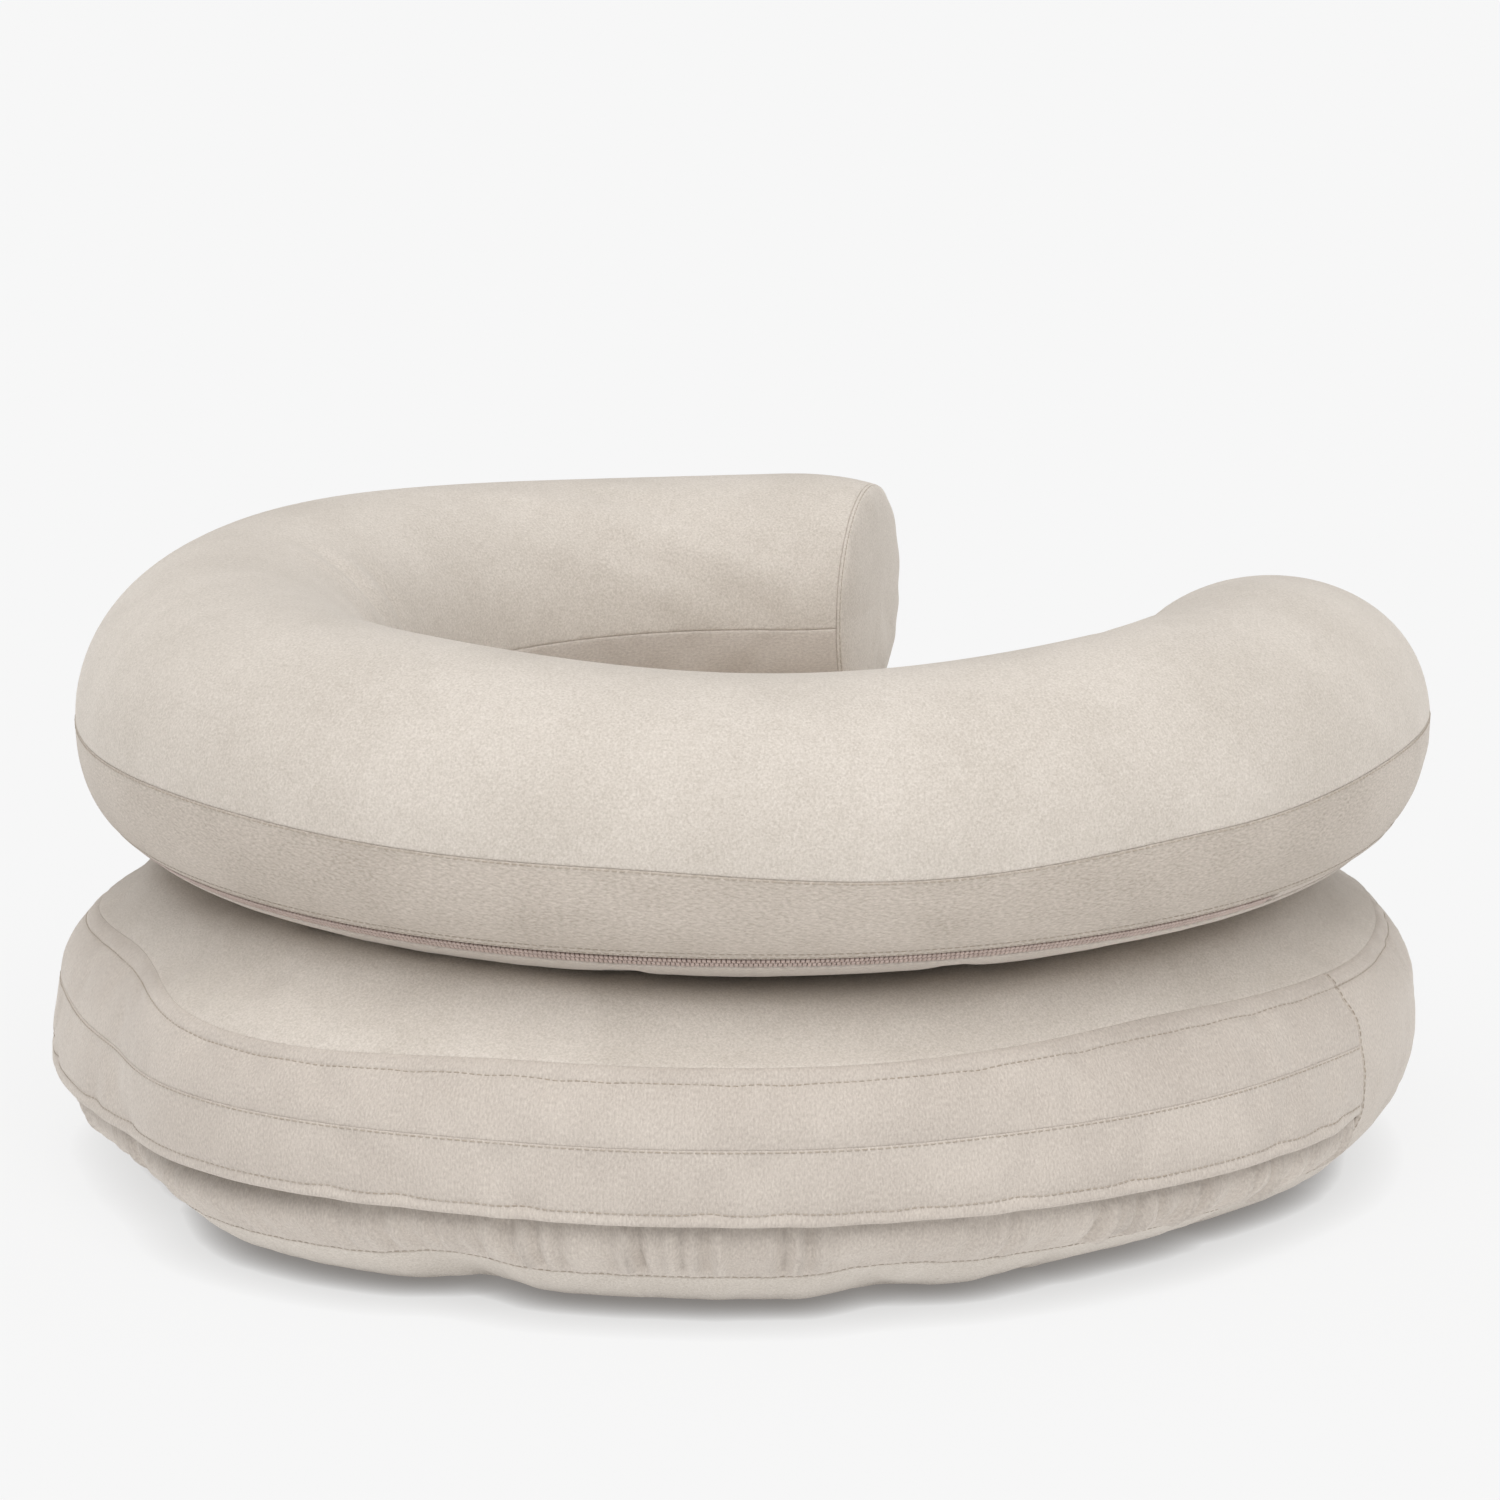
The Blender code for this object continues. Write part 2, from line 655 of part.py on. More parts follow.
def add_zip_pull(stem, outline, arc, steps, group, cutters, parent):
    """The slider and puller of a zip, parked just inside its first end stop."""
    axis = bpy.data.objects.new(f"{stem}_zip_axis", None)
    axis.parent = parent
    group.objects.link(axis)
    radius = outline[0][outline[1]["zip_middle"]].x
    heading = arc[0] + (arc[1] - arc[0]) / steps + (SLIDER_LENGTH / 2 + SEAM_GAP) / radius
    place = zip_frame(outline, heading)
    slider(f"{stem}_zip_slider", place, NICKEL, group, cutters, axis)
    puller(f"{stem}_zip_puller", place, NICKEL, group, cutters, axis)


def main():
    clear_scene()
    group = collection_named("floor_seat_set")
    cutters = collection_named("cutters")
    outline, arc = build_seat(group, cutters)
    add_zip_pull("seat", outline, arc, SEAT_ZIP_STEPS, group, cutters, None)
    frame = bolster_frame(group)
    outline, arc = build_bolster(group, frame)
    steps = BOLSTER_STEPS - 2 * PLAIN_STEPS
    add_zip_pull("bolster", outline, arc, steps, group, cutters, frame)


main()
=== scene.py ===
"""A two-piece floor cushion in microsuede: a drum-shaped seat, and a C-shaped bolster that lies on it.

Lengths are metres and angles are degrees, anticlockwise from +X seen from above. Each cushion starts
as a sleeve of closed rings, which a cloth simulation blows up while its seams are held. The panels,
seams, stitches and zips are then laid on that sleeve.
"""

import functools
import json
import math

import bmesh
import bpy
import numpy as np
from mathutils import Matrix, Vector


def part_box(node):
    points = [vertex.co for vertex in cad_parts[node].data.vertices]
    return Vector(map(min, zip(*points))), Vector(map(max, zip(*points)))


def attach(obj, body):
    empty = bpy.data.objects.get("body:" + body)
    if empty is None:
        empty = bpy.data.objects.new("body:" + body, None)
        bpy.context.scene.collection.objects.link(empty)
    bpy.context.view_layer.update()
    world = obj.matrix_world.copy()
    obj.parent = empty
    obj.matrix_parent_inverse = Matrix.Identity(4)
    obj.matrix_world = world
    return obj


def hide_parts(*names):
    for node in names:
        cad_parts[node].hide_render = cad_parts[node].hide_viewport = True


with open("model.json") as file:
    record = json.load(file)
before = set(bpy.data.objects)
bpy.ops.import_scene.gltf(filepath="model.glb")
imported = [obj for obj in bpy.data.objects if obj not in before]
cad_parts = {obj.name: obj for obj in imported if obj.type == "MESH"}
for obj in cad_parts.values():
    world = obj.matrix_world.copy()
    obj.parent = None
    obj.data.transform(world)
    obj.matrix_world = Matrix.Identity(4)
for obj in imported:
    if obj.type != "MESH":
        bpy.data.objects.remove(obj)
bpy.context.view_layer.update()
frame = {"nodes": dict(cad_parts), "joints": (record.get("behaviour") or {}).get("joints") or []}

bl_info = {
    "name": "Seat and bolster cushion",
    "version": (1, 0, 0),
    "blender": (4, 5, 0),
    "location": "View3D > Sidebar > Cushion",
    "description": "Sews the microsuede seat cushion and its C-shaped bolster around the packed model",
    "category": "Add Mesh",
}


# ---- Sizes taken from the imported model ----

def reach(node):
    """How far a node's points lie from the seat's axis: the least and the most."""
    spans = [math.hypot(v.co.x, v.co.y) for v in frame["nodes"][node].data.vertices]
    return min(spans), max(spans)


def joint(name):
    return next(j for j in frame["joints"] if j["name"] == name)


SEAT_RADIUS = reach("seat_middle_band")[1]
SEAT_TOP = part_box("seat_top_panel")[1].z
TOP_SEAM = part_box("seat_upper_band")[1].z
MIDDLE_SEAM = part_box("seat_upper_band")[0].z
FLAP_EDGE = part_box("seat_zip_flap")[0].z
LOWER_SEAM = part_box("seat_bottom_panel")[1].z
SEAT_ZIP_HEIGHT = (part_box("seat_zip_chain")[0].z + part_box("seat_zip_chain")[1].z) / 2
SEAT_ZIP_RADIUS = reach("seat_zip_chain")[1]

BOLSTER_UP = Vector(joint("bolster_zip_run")["axis"]).normalized()
BOLSTER_TURN = Vector((0, 0, 1)).rotation_difference(BOLSTER_UP).to_matrix()

# The rest of the outlines. They follow the part's own design, but the tier ends a little sooner, and the
# domes at the bolster's ends are half as deep.
SEAT_WIDEST_AT = 0.070
SEAT_FOOT_RADIUS = 0.255
CROWN_POWER = 3.0
SOLE_POWER = 1.8
TIER_START, TIER_END = -22.5, 200.0
SEAT_ZIP_START, SEAT_ZIP_END = -13.5, 193.5

BOLSTER_CENTRE = Vector((0, -0.012, 0.21463))
BOLSTER_RADIUS = 0.247
BOLSTER_HALF_WIDTH = 0.074
BOLSTER_UPPER = 0.072
BOLSTER_LOWER = 0.061
LOWER_POWER = 2.5
ARC_START, ARC_END = -56.0, 236.0
DOME_REACH = 0.008
ZIP_REACH = 0.051
UNDER_HEM_REACH = 0.045
CHAIN_START, CHAIN_END = -7.33, 187.33
TAPE_START, TAPE_END = -17.07, 197.07

# ---- Settings a user would change ----

def length_setting(name, description, default):
    return bpy.props.FloatProperty(name=name, description=description, default=default, unit="LENGTH")


def colour_setting(name, description, default):
    """A colour as sRGB hex."""
    return bpy.props.StringProperty(name=name, description=description, default=default)


class CushionSizes(bpy.types.PropertyGroup):
    seam_depth: length_setting("Seam depth", "How far a sewn edge rolls in", 0.0007)
    seam_width: length_setting("Seam width", "How far from a seam its edge starts to roll", 0.0016)
    cloth: length_setting("Cover thickness", "Thickness of the microsuede", 0.0012)
    pucker: length_setting("Pucker height", "Height of the small gathers beside a seam", 0.0004)
    stitch_pitch: length_setting("Stitch pitch", "From one stitch to the next", 0.0034)
    stitch_length: length_setting("Stitch length", "Length of thread that shows", 0.0023)
    thread: length_setting("Thread", "Diameter of the sewing thread", 0.0006)
    coil_pitch: length_setting("Coil pitch", "From one zip tooth to the next", 0.0021)
    coil_width: length_setting("Coil width", "Width of the closed zip chain", 0.0072)
    slack: bpy.props.FloatProperty(
        name="Cloth slack", description="How much larger the cloth is cut than its filling", default=0.004,
        subtype="FACTOR")


class CushionColours(bpy.types.PropertyGroup):
    suede: colour_setting("Suede", "Microsuede, as sRGB hex", "DBD3CA")
    suede_shade: colour_setting("Suede shade", "Where the nap lies the other way", "B4ABA0")
    # The bands' colours are darker than the suede's: painted shade for the less light that the upright and
    # underside bands take.
    band: colour_setting("Band", "Microsuede of the bands", "D3CAC0")
    band_shade: colour_setting("Band shade", "Where the bands' nap lies the other way", "ADA39A")
    # The outer band's colours are darker than the crown's: painted shade for the less light on that
    # downward-facing band.
    slant: colour_setting("Slant", "Microsuede of the bolster's outer band", "D0C6BC")
    slant_shade: colour_setting("Slant shade", "Where the outer band's nap lies the other way", "9E9488")
    # The thread is darker than the cloth: partly its own tone, partly painted shade for the holes that the
    # stitches sink into.
    thread: colour_setting("Thread", "Polyester sewing thread", "9C8D7B")
    tape: colour_setting("Zip tape", "Woven polyester tape", "A39087")
    nylon: colour_setting("Zip coil", "Dyed nylon coil", "CDBBB2")
    nickel: colour_setting("Nickel", "Satin nickel on the slider and puller", "C9C5BE")
    cotton: colour_setting("Liner", "Unbleached cotton of the inner cushions", "E6DFD0")
    floor: colour_setting("Floor", "Plain pale floor", "E4E4E4")
    # Painted shadow: the colour that the floor's glow fades to where the cushion nearly touches it.
    floor_shade: colour_setting("Floor shade", "The floor where the object almost touches it", "5A534D")


def sizes():
    return bpy.context.scene.cushion_sizes


def colours():
    return bpy.context.scene.cushion_colours


# ---- Shapes in numbers ----

def hill(angle, centre, half_width):
    """1 at the centre angle, falling smoothly to 0 at half_width either side."""
    gap = np.abs((angle - centre + 180) % 360 - 180)
    return np.where(gap < half_width, 0.5 + 0.5 * np.cos(np.pi * gap / half_width), 0.0)


def hills(angle, places):
    return sum(height * hill(angle, centre, half_width) for centre, half_width, height in places)


def step(value, start, end):
    """0 before start, 1 after end, smooth between."""
    share = np.clip((value - start) / (end - start), 0, 1)
    return share * share * (3 - 2 * share)


def soft_max(value, least, blend):
    """The larger of the two, blended where they are close."""
    return least + blend * np.logaddexp(0, (value - least) / blend)


def ripple(turns, count, seed):
    """An uneven wave of about count crests a turn, from -1 to 1."""
    draw = np.random.default_rng(seed)
    total = 0.0
    for _ in range(6):
        crests = round(count * draw.uniform(0.45, 1.5))
        total = total + np.sin(2 * np.pi * (crests * turns + draw.random()))
    return total / 4


def roll(distance, width, depth):
    """How far a sewn edge has sunk, at a distance from its seam: round at the shoulder, steep at the seam."""
    share = np.clip(1 - np.abs(distance) / width, 0, 1)
    return depth * (1 - np.sqrt(1 - share * share))


def dimple(distance, width, depth):
    """A soft trough along a line of stitches."""
    return depth * np.exp(-(distance / width) ** 2)


class Sleeve:
    """A closed skin of rings from one pole to the other. u counts rings and s counts points in a ring."""

    def __init__(self, rings):
        self.rings = rings
        self.count, self.around = rings.shape[:2]

    def at(self, u, s):
        """The smooth point at (u, s), by a cubic through the four nearest rings and points each way."""
        u, s = np.broadcast_arrays(np.asarray(u, float), np.asarray(s, float))
        ring = np.floor(np.clip(u, 0, self.count - 1.000001)).astype(int)
        point = np.floor(s).astype(int)
        across, along = (u - ring)[..., None], (s - point)[..., None]
        total = 0.0
        for i, ring_share in enumerate(cubic(across)):
            row = np.clip(ring + i - 1, 0, self.count - 1)
            for j, point_share in enumerate(cubic(along)):
                total = total + ring_share * point_share * self.rings[row, (point + j - 1) % self.around]
        return total

    def normal(self, u, s, gap=0.05):
        along = self.at(u + gap, s) - self.at(u - gap, s)
        across = self.at(u, s + gap) - self.at(u, s - gap)
        normal = np.cross(along, across)
        return normal / np.maximum(np.linalg.norm(normal, axis=-1, keepdims=True), 1e-12)

    def lifted(self, u, s, lift):
        return self.at(u, s) + self.normal(u, s) * np.asarray(lift)[..., None]


def cubic(t):
    """The four weights of a cubic through evenly spaced points."""
    return (
        (-t + 2 * t**2 - t**3) / 2,
        (2 - 5 * t**2 + 3 * t**3) / 2,
        (t + 4 * t**2 - 3 * t**3) / 2,
        (-(t**2) + t**3) / 2,
    )


# ---- The seat's sleeve: rings from the crown down to the middle of the sole ----

SEAT_AROUND = 180
CROWN_RINGS, UPPER_RINGS, TIER_RINGS, LOWER_RINGS, SOLE_RINGS = 28, 5, 5, 4, 18
SEAT_TOP_LINE = CROWN_RINGS
SEAT_MIDDLE_LINE = SEAT_TOP_LINE + UPPER_RINGS
SEAT_FLAP_LINE = SEAT_MIDDLE_LINE + TIER_RINGS
SEAT_LOWER_LINE = SEAT_FLAP_LINE + LOWER_RINGS
SEAT_LAST_RING = SEAT_LOWER_LINE + SOLE_RINGS

# The first and last rings lie this far from the middle of the crown and of the sole.
POLE_GAP = 0.003
# Where the seat is fuller or slacker than a true round: centre angle, half width, outwards by.
SEAT_BULGES = ((96, 26, 0.010), (68, 22, -0.011), (176, 34, -0.013), (30, 30, -0.004))
# Where the lower edge is pulled in between the lobes of the filling.
SOLE_DENTS = ((114, 8, -0.006), (151, 9, -0.005), (182, 26, -0.006), (92, 18, 0.004))
SOLE_LIFTS = ((114, 8, 0.0035), (151, 8, 0.0030))
# The sleeve stays this far outside the zip's chain, so that the flap covers it. It comes nearer with the
# square of the distance below or above the zip's height.
ZIP_COVER = 0.0062
ZIP_COVER_CURVES = 22.0, 8.0
ZIP_COVER_TOP = 0.10
ZIP_COVER_BLEND = 0.0015
# It acts from just inside the foot outwards.
ZIP_COVER_FROM = SEAT_FOOT_RADIUS - 0.005
# Where the bolster presses, the seat's crown swells beside it: from, to, and up by.
SWELL_INSIDE = (0.222, 0.270)
SWELL_OUTSIDE = (0.276, 0.2965)
SWELL_HEIGHT = 0.012
# Round this angle the swell is lower: centre, half width, and the share that it loses.
LESS_SWELL = (146, 42, 0.5)
TOP_SEAM_DIPS = ((98, 24, -0.0035), (68, 26, 0.002), (178, 30, 0.001))


def seat_outline(count=600):
    """The seat's outline from the crown to the sole, as (radius, height) points."""
    crown = np.linspace(0, np.pi / 2, count)
    radius = SEAT_RADIUS * np.sin(crown) ** (2 / CROWN_POWER)
    height = SEAT_WIDEST_AT + (SEAT_TOP - SEAT_WIDEST_AT) * np.cos(crown) ** (2 / CROWN_POWER)
    under = np.linspace(0, np.pi / 2, count)[1:]
    foot = SEAT_RADIUS - SEAT_FOOT_RADIUS
    under_radius = SEAT_FOOT_RADIUS + foot * np.cos(under) ** (2 / SOLE_POWER)
    under_height = SEAT_WIDEST_AT * (1 - np.sin(under) ** (2 / SOLE_POWER))
    sole = np.linspace(SEAT_FOOT_RADIUS, 0, count)[1:]
    radius = np.concatenate([radius, under_radius, sole])
    height = np.concatenate([height, under_height, 0 * sole])
    return radius, height


def seat_rings():
    """Rings that follow the seams at every angle."""
    radius, height = seat_outline()
    length = np.concatenate([[0], np.cumsum(np.hypot(np.diff(radius), np.diff(height)))])
    side = slice(np.argmax(radius > 0.1), np.argmax(height < 0.001))
    angle = np.arange(SEAT_AROUND) * 360 / SEAT_AROUND

    def at_height(level):
        return np.interp(-level, -height[side], length[side])

    lines = [
        np.full(SEAT_AROUND, POLE_GAP),
        at_height(TOP_SEAM + hills(angle, TOP_SEAM_DIPS)),
        at_height(np.full(SEAT_AROUND, MIDDLE_SEAM)),
        at_height(np.full(SEAT_AROUND, FLAP_EDGE)),
        at_height(np.full(SEAT_AROUND, LOWER_SEAM)),
        np.full(SEAT_AROUND, length[-1] - POLE_GAP),
    ]
    spans = (CROWN_RINGS, UPPER_RINGS, TIER_RINGS, LOWER_RINGS, SOLE_RINGS)
    stations = []
    for first, last, count in zip(lines, lines[1:], spans):
        stations += [first + (last - first) * i / count for i in range(count)]
    stations.append(lines[-1])
    stations = np.array(stations)
    r = np.interp(stations, length, radius)
    z = np.interp(stations, length, height)
    fullness = step(r, 0.15, 0.30)
    low = 1 - step(z, 0.015, 0.050)
    r = r + fullness * hills(angle, SEAT_BULGES) + fullness * low * hills(angle, SOLE_DENTS)
    z = z + step(r, 0.17, 0.24) * low * hills(angle, SOLE_LIFTS)
    curve = np.where(z < SEAT_ZIP_HEIGHT, *ZIP_COVER_CURVES)
    least = SEAT_ZIP_RADIUS + ZIP_COVER - curve * (z - SEAT_ZIP_HEIGHT) ** 2
    covers = (r > ZIP_COVER_FROM) & (z < ZIP_COVER_TOP)
    r = np.where(covers, soft_max(r, least, ZIP_COVER_BLEND), r)
    crown = z > SEAT_WIDEST_AT
    swelling = SWELL_HEIGHT * (1 - hills(angle, [LESS_SWELL]))
    z = z + crown * swelling * step(r, *SWELL_INSIDE) * (1 - step(r, *SWELL_OUTSIDE))
    turn = np.radians(angle)
    return np.stack([r * np.cos(turn), r * np.sin(turn), z], axis=-1)


# ---- The bolster's sleeve: rings along the arc, with a dome at each end ----

TOP_POINTS, INNER_POINTS, UNDER_POINTS, OUTER_POINTS = 22, 6, 8, 8
INNER_LINE = TOP_POINTS
HEM_LINE = INNER_LINE + INNER_POINTS
ZIP_LINE = HEM_LINE + UNDER_POINTS
BOLSTER_AROUND = ZIP_LINE + OUTER_POINTS
BODY_RINGS = 120
DOME_TURNS = (87, 80, 66, 50, 34, 18)
FIRST_BODY_RING = len(DOME_TURNS)
LAST_BODY_RING = FIRST_BODY_RING + BODY_RINGS

# Where the bolster's crown, its seams and its foot leave the plain section: centre, half width, up by.
CROWN_LIFTS = ((-34, 62, -0.011), (142, 46, -0.006), (240, 34, -0.016))
OUTER_SEAM_LIFTS = ((151, 26, -0.006), (205, 28, 0.005), (88, 28, 0.002))
INNER_SEAM_DROP = 0.004
# Away from its parked slider, the filling rolls the zip outwards this far, between these angles.
ZIP_SHIFT = 0.0048
ZIP_SHIFT_TURN = (0, 30)
# The arms grow slimmer over their last degrees, by this share.
END_REACH = 10.0
END_SLIMMER = 0.09


def bolster_section(angle, count=720):
    """Distances round the section and its points there, from the outer side over the top, as (out, up)."""
    turn = np.linspace(0, 2 * np.pi, count + 1)
    upper = BOLSTER_UPPER + hills(angle, CROWN_LIFTS)
    cosine, sine = np.cos(turn), np.sin(turn)
    power = np.where(sine < 0, 2 / LOWER_POWER, 1.0)
    out = BOLSTER_HALF_WIDTH * np.sign(cosine) * np.abs(cosine) ** power
    up = np.where(sine < 0, BOLSTER_LOWER, upper) * np.sign(sine) * np.abs(sine) ** power
    length = np.concatenate([[0], np.cumsum(np.hypot(np.diff(out), np.diff(up)))])
    return length, out, up


def section_ring(angle):
    """The section's points at one angle, placed so that the seams fall on fixed points."""
    length, out, up = bolster_section(angle)
    whole = length[-1]
    half = len(length) // 2
    outer_lift = hills(angle, OUTER_SEAM_LIFTS)
    if outer_lift >= 0:
        outer = np.interp(outer_lift, up[: half // 2], length[: half // 2])
    else:
        outer = np.interp(outer_lift, up[-half // 2 :], length[-half // 2 :]) - whole
    inner_side = slice(half, half + half // 4)
    inner = np.interp(INNER_SEAM_DROP, -up[inner_side], length[inner_side])
    under = slice(half + half // 8, len(length) - half // 8)
    hem = np.interp(-UNDER_HEM_REACH, out[under], length[under])
    zip_reach = ZIP_REACH + ZIP_SHIFT * step(angle, *ZIP_SHIFT_TURN)
    zip_at = np.interp(zip_reach, out[under], length[under])
    lines = [outer, inner, hem, zip_at, outer + whole]
    stations = []
    for first, last, count in zip(lines, lines[1:], (TOP_POINTS, INNER_POINTS, UNDER_POINTS, OUTER_POINTS)):
        stations += [first + (last - first) * i / count for i in range(count)]
    stations = np.array(stations) % whole
    return np.interp(stations, length, out), np.interp(stations, length, up)


def bolster_frame():
    """The matrix from the bolster's own axes to the part's."""
    return Matrix.Translation(BOLSTER_CENTRE) @ BOLSTER_TURN.to_4x4()


def to_part(points):
    matrix = np.array(bolster_frame())
    return points @ matrix[:3, :3].T + matrix[:3, 3]


def bolster_rings():
    rings = []
    for i in range(-len(DOME_TURNS), BODY_RINGS + len(DOME_TURNS) + 1):
        past = -i if i < 0 else i - BODY_RINGS
        angle = ARC_START + (ARC_END - ARC_START) * min(max(i, 0), BODY_RINGS) / BODY_RINGS
        out, up = section_ring(angle)
        turn = math.radians(angle)
        nearest = min(angle - ARC_START, ARC_END - angle)
        slim = 1 - END_SLIMMER * max(0.0, 1 - nearest / END_REACH) ** 2
        out, up = out * slim, up * slim
        away = 0.0
        if past > 0:
            dome = math.radians(DOME_TURNS[-past])
            shrink = math.cos(dome) ** 0.6
            away = DOME_REACH * math.sin(dome) * (-1 if i < 0 else 1)
            out, up = out * shrink, up * shrink
        span = BOLSTER_RADIUS + out
        x = span * math.cos(turn) - away * math.sin(turn)
        y = span * math.sin(turn) + away * math.cos(turn)
        rings.append(np.stack([x, y, up], axis=-1))
    return to_part(np.array(rings))


def ring_at(angle):
    """The ring number at an angle along the bolster's arc."""
    return FIRST_BODY_RING + (angle - ARC_START) / (ARC_END - ARC_START) * BODY_RINGS


def angle_at(ring):
    return ARC_START + (np.clip(ring, FIRST_BODY_RING, LAST_BODY_RING) - FIRST_BODY_RING) * (
        ARC_END - ARC_START) / BODY_RINGS


# ---- Meshes ----

def new_object(name, points, faces):
    mesh = bpy.data.meshes.new(name)
    mesh.from_pydata(points.tolist(), [], faces)
    mesh.validate()
    mesh.shade_smooth()
    obj = bpy.data.objects.new(name, mesh)
    bpy.context.scene.collection.objects.link(obj)
    return obj


def sleeve_faces(count, around):
    """Quads between rings, and a fan to a pole at each end. The poles are the last two points."""
    number = np.arange(count * around).reshape(count, around)
    beside = np.roll(number, -1, axis=1)
    quads = np.stack([number[:-1], number[1:], beside[1:], beside[:-1]], axis=-1).reshape(-1, 4)
    pole = count * around
    faces = quads.tolist()
    faces += [[pole, number[0, j], beside[0, j]] for j in range(around)]
    faces += [[pole + 1, beside[-1, j], number[-1, j]] for j in range(around)]
    return faces


def sleeve_object(name, rings):
    points = np.concatenate([rings.reshape(-1, 3), rings[:1].mean(axis=1), rings[-1:].mean(axis=1)])
    return new_object(name, points, sleeve_faces(*rings.shape[:2]))


SWELL_FRAMES = 20
SWELL_PRESSURE = 4.0
# No point of the sleeve moves further than this.
SEAT_CAP, BOLSTER_CAP = 0.0022, 0.0028
# From this many rings past the lower seam, the sole stays as drawn.
FREE_SOLE_RINGS = 6


def swell(name, rings, held, cap):
    """Blows the rings up as cloth with the held points fixed, and returns them moved by cap at most."""
    obj = sleeve_object(name, rings)
    group = obj.vertex_groups.new(name="held")
    group.add([int(i) for i in np.flatnonzero(held)], 1.0, "REPLACE")
    cloth = obj.modifiers.new("cloth", "CLOTH")
    cloth.settings.vertex_group_mass = "held"
    cloth.settings.use_pressure = True
    cloth.settings.uniform_pressure_force = SWELL_PRESSURE
    cloth.settings.shrink_min = -sizes().slack
    cloth.settings.effector_weights.gravity = 0
    cloth.point_cache.frame_start = 1
    cloth.point_cache.frame_end = SWELL_FRAMES
    for number in range(1, SWELL_FRAMES + 1):
        bpy.context.scene.frame_set(number)
    settled = obj.evaluated_get(bpy.context.evaluated_depsgraph_get())
    points = np.empty(len(settled.data.vertices) * 3)
    settled.data.vertices.foreach_get("co", points)
    moved = points.reshape(-1, 3)[: rings.shape[0] * rings.shape[1]].reshape(rings.shape) - rings
    bpy.data.objects.remove(obj)
    bpy.context.scene.frame_set(1)
    distance = np.linalg.norm(moved, axis=-1, keepdims=True)
    return rings + moved * (cap * np.tanh(distance / cap) / np.maximum(distance, 1e-9))


@functools.lru_cache(maxsize=None)
def seat_sleeve():
    rings = seat_rings()
    held = np.zeros(rings.shape[:2], bool)
    for line in (SEAT_TOP_LINE, SEAT_MIDDLE_LINE, SEAT_FLAP_LINE, SEAT_LOWER_LINE):
        held[line] = True
    held[SEAT_LOWER_LINE + FREE_SOLE_RINGS :] = True
    swollen = swell("seat_blank", rings, held, SEAT_CAP)
    swollen[..., 2] = np.maximum(swollen[..., 2], 0)
    return Sleeve(swollen)


@functools.lru_cache(maxsize=None)
def bolster_sleeve():
    rings = bolster_rings()
    held = np.zeros(rings.shape[:2], bool)
    held[:, [INNER_LINE, HEM_LINE, ZIP_LINE - 1, ZIP_LINE, ZIP_LINE + 1]] = True
    held[[FIRST_BODY_RING, LAST_BODY_RING]] = True
    return Sleeve(swell("bolster_blank", rings, held, BOLSTER_CAP))


# A panel is nowhere thinner than this.
LEAST_CLOTH = 0.0004
# A row of points nearer than this to the one before is left out, unless it is the last.
LEAST_ROW = 0.00012
# Distances from a seam, and from a line of stitches, at which a panel has an extra row of points.
EDGE_STEPS = (0.0001, 0.0003, 0.0007, 0.0013, 0.0021, 0.0031)
STITCH_STEPS = (-0.0022, -0.0012, -0.0005, 0, 0.0005, 0.0012, 0.0022)


def lines_between(start, end, cell, spacing, edges=(True, True), stitched=()):
    """Coordinates from start to end about spacing apart, with more beside a seam or a line of stitches."""
    count = max(2, round((end - start) * cell / spacing))
    found = list(np.linspace(start, end, count + 1))
    fine = np.array(EDGE_STEPS) / cell
    if edges[0]:
        found += list(start + fine)
    if edges[1]:
        found += list(end - fine)
    for line in stitched:
        found += list(line + np.array(STITCH_STEPS) / cell)
    found = np.array(sorted(x for x in found if start <= x <= end))
    keep = np.concatenate([[True], np.diff(found) > LEAST_ROW / cell])
    keep[-1] = True
    return found[keep]


def panel(name, sleeve, us, ss, face, back=None, wrap=False, pole=None):
    """A sewn piece of cloth with a face and a back. face and back give their lift off the sleeve.
    wrap closes it round the ring, and pole, -1 or 1, closes it over the sleeve's first or last ring."""
    u, s = np.meshgrid(us, ss, indexing="ij")
    face_lift = face(u, s)
    plain_back = -sizes().seam_depth - sizes().cloth
    back_lift = np.minimum(back(u, s) if back else plain_back, face_lift - LEAST_CLOTH)
    front = sleeve.lifted(u, s, face_lift)
    back = sleeve.lifted(u, s, back_lift)
    rows, columns = u.shape
    number = np.arange(rows * columns).reshape(rows, columns)
    behind = number + rows * columns
    points = [front.reshape(-1, 3), back.reshape(-1, 3)]
    faces = grid_faces(number, wrap) + grid_faces(behind[::-1], wrap)
    extra = 2 * rows * columns
    ends = [number[0], number[-1]]
    back_ends = [behind[0], behind[-1]]
    if pole is not None:
        end = 0 if pole < 0 else -1
        for ring, layer in ((number[end], front), (behind[end], back)):
            points.append(layer[end].mean(axis=0, keepdims=True))
            fan = [[extra, ring[j], ring[(j + 1) % columns]] for j in range(columns)]
            outward = (pole < 0) == (layer is front)
            faces += fan if outward else [face_[::-1] for face_ in fan]
            extra += 1
        ends[end], back_ends[end] = None, None
    for side, (ring, back_ring) in enumerate(zip(ends, back_ends)):
        if ring is None:
            continue
        strip = np.stack([back_ring, ring]) if side == 0 else np.stack([ring, back_ring])
        faces += grid_faces(strip, wrap)
    if not wrap:
        faces += grid_faces(np.stack([behind[:, 0], number[:, 0]], axis=1), False)
        faces += grid_faces(np.stack([number[:, -1], behind[:, -1]], axis=1), False)
    obj = new_object(name, np.concatenate(points), faces)
    add_cloth_map(obj, sleeve, us, ss, rows * columns)
    return obj


def grid_faces(number, wrap):
    beside = np.roll(number, -1, axis=1)
    if not wrap:
        number, beside = number[:, :-1], beside[:, :-1]
    quads = np.stack([number[:-1], number[1:], beside[1:], beside[:-1]], axis=-1)
    return quads.reshape(-1, 4).tolist()


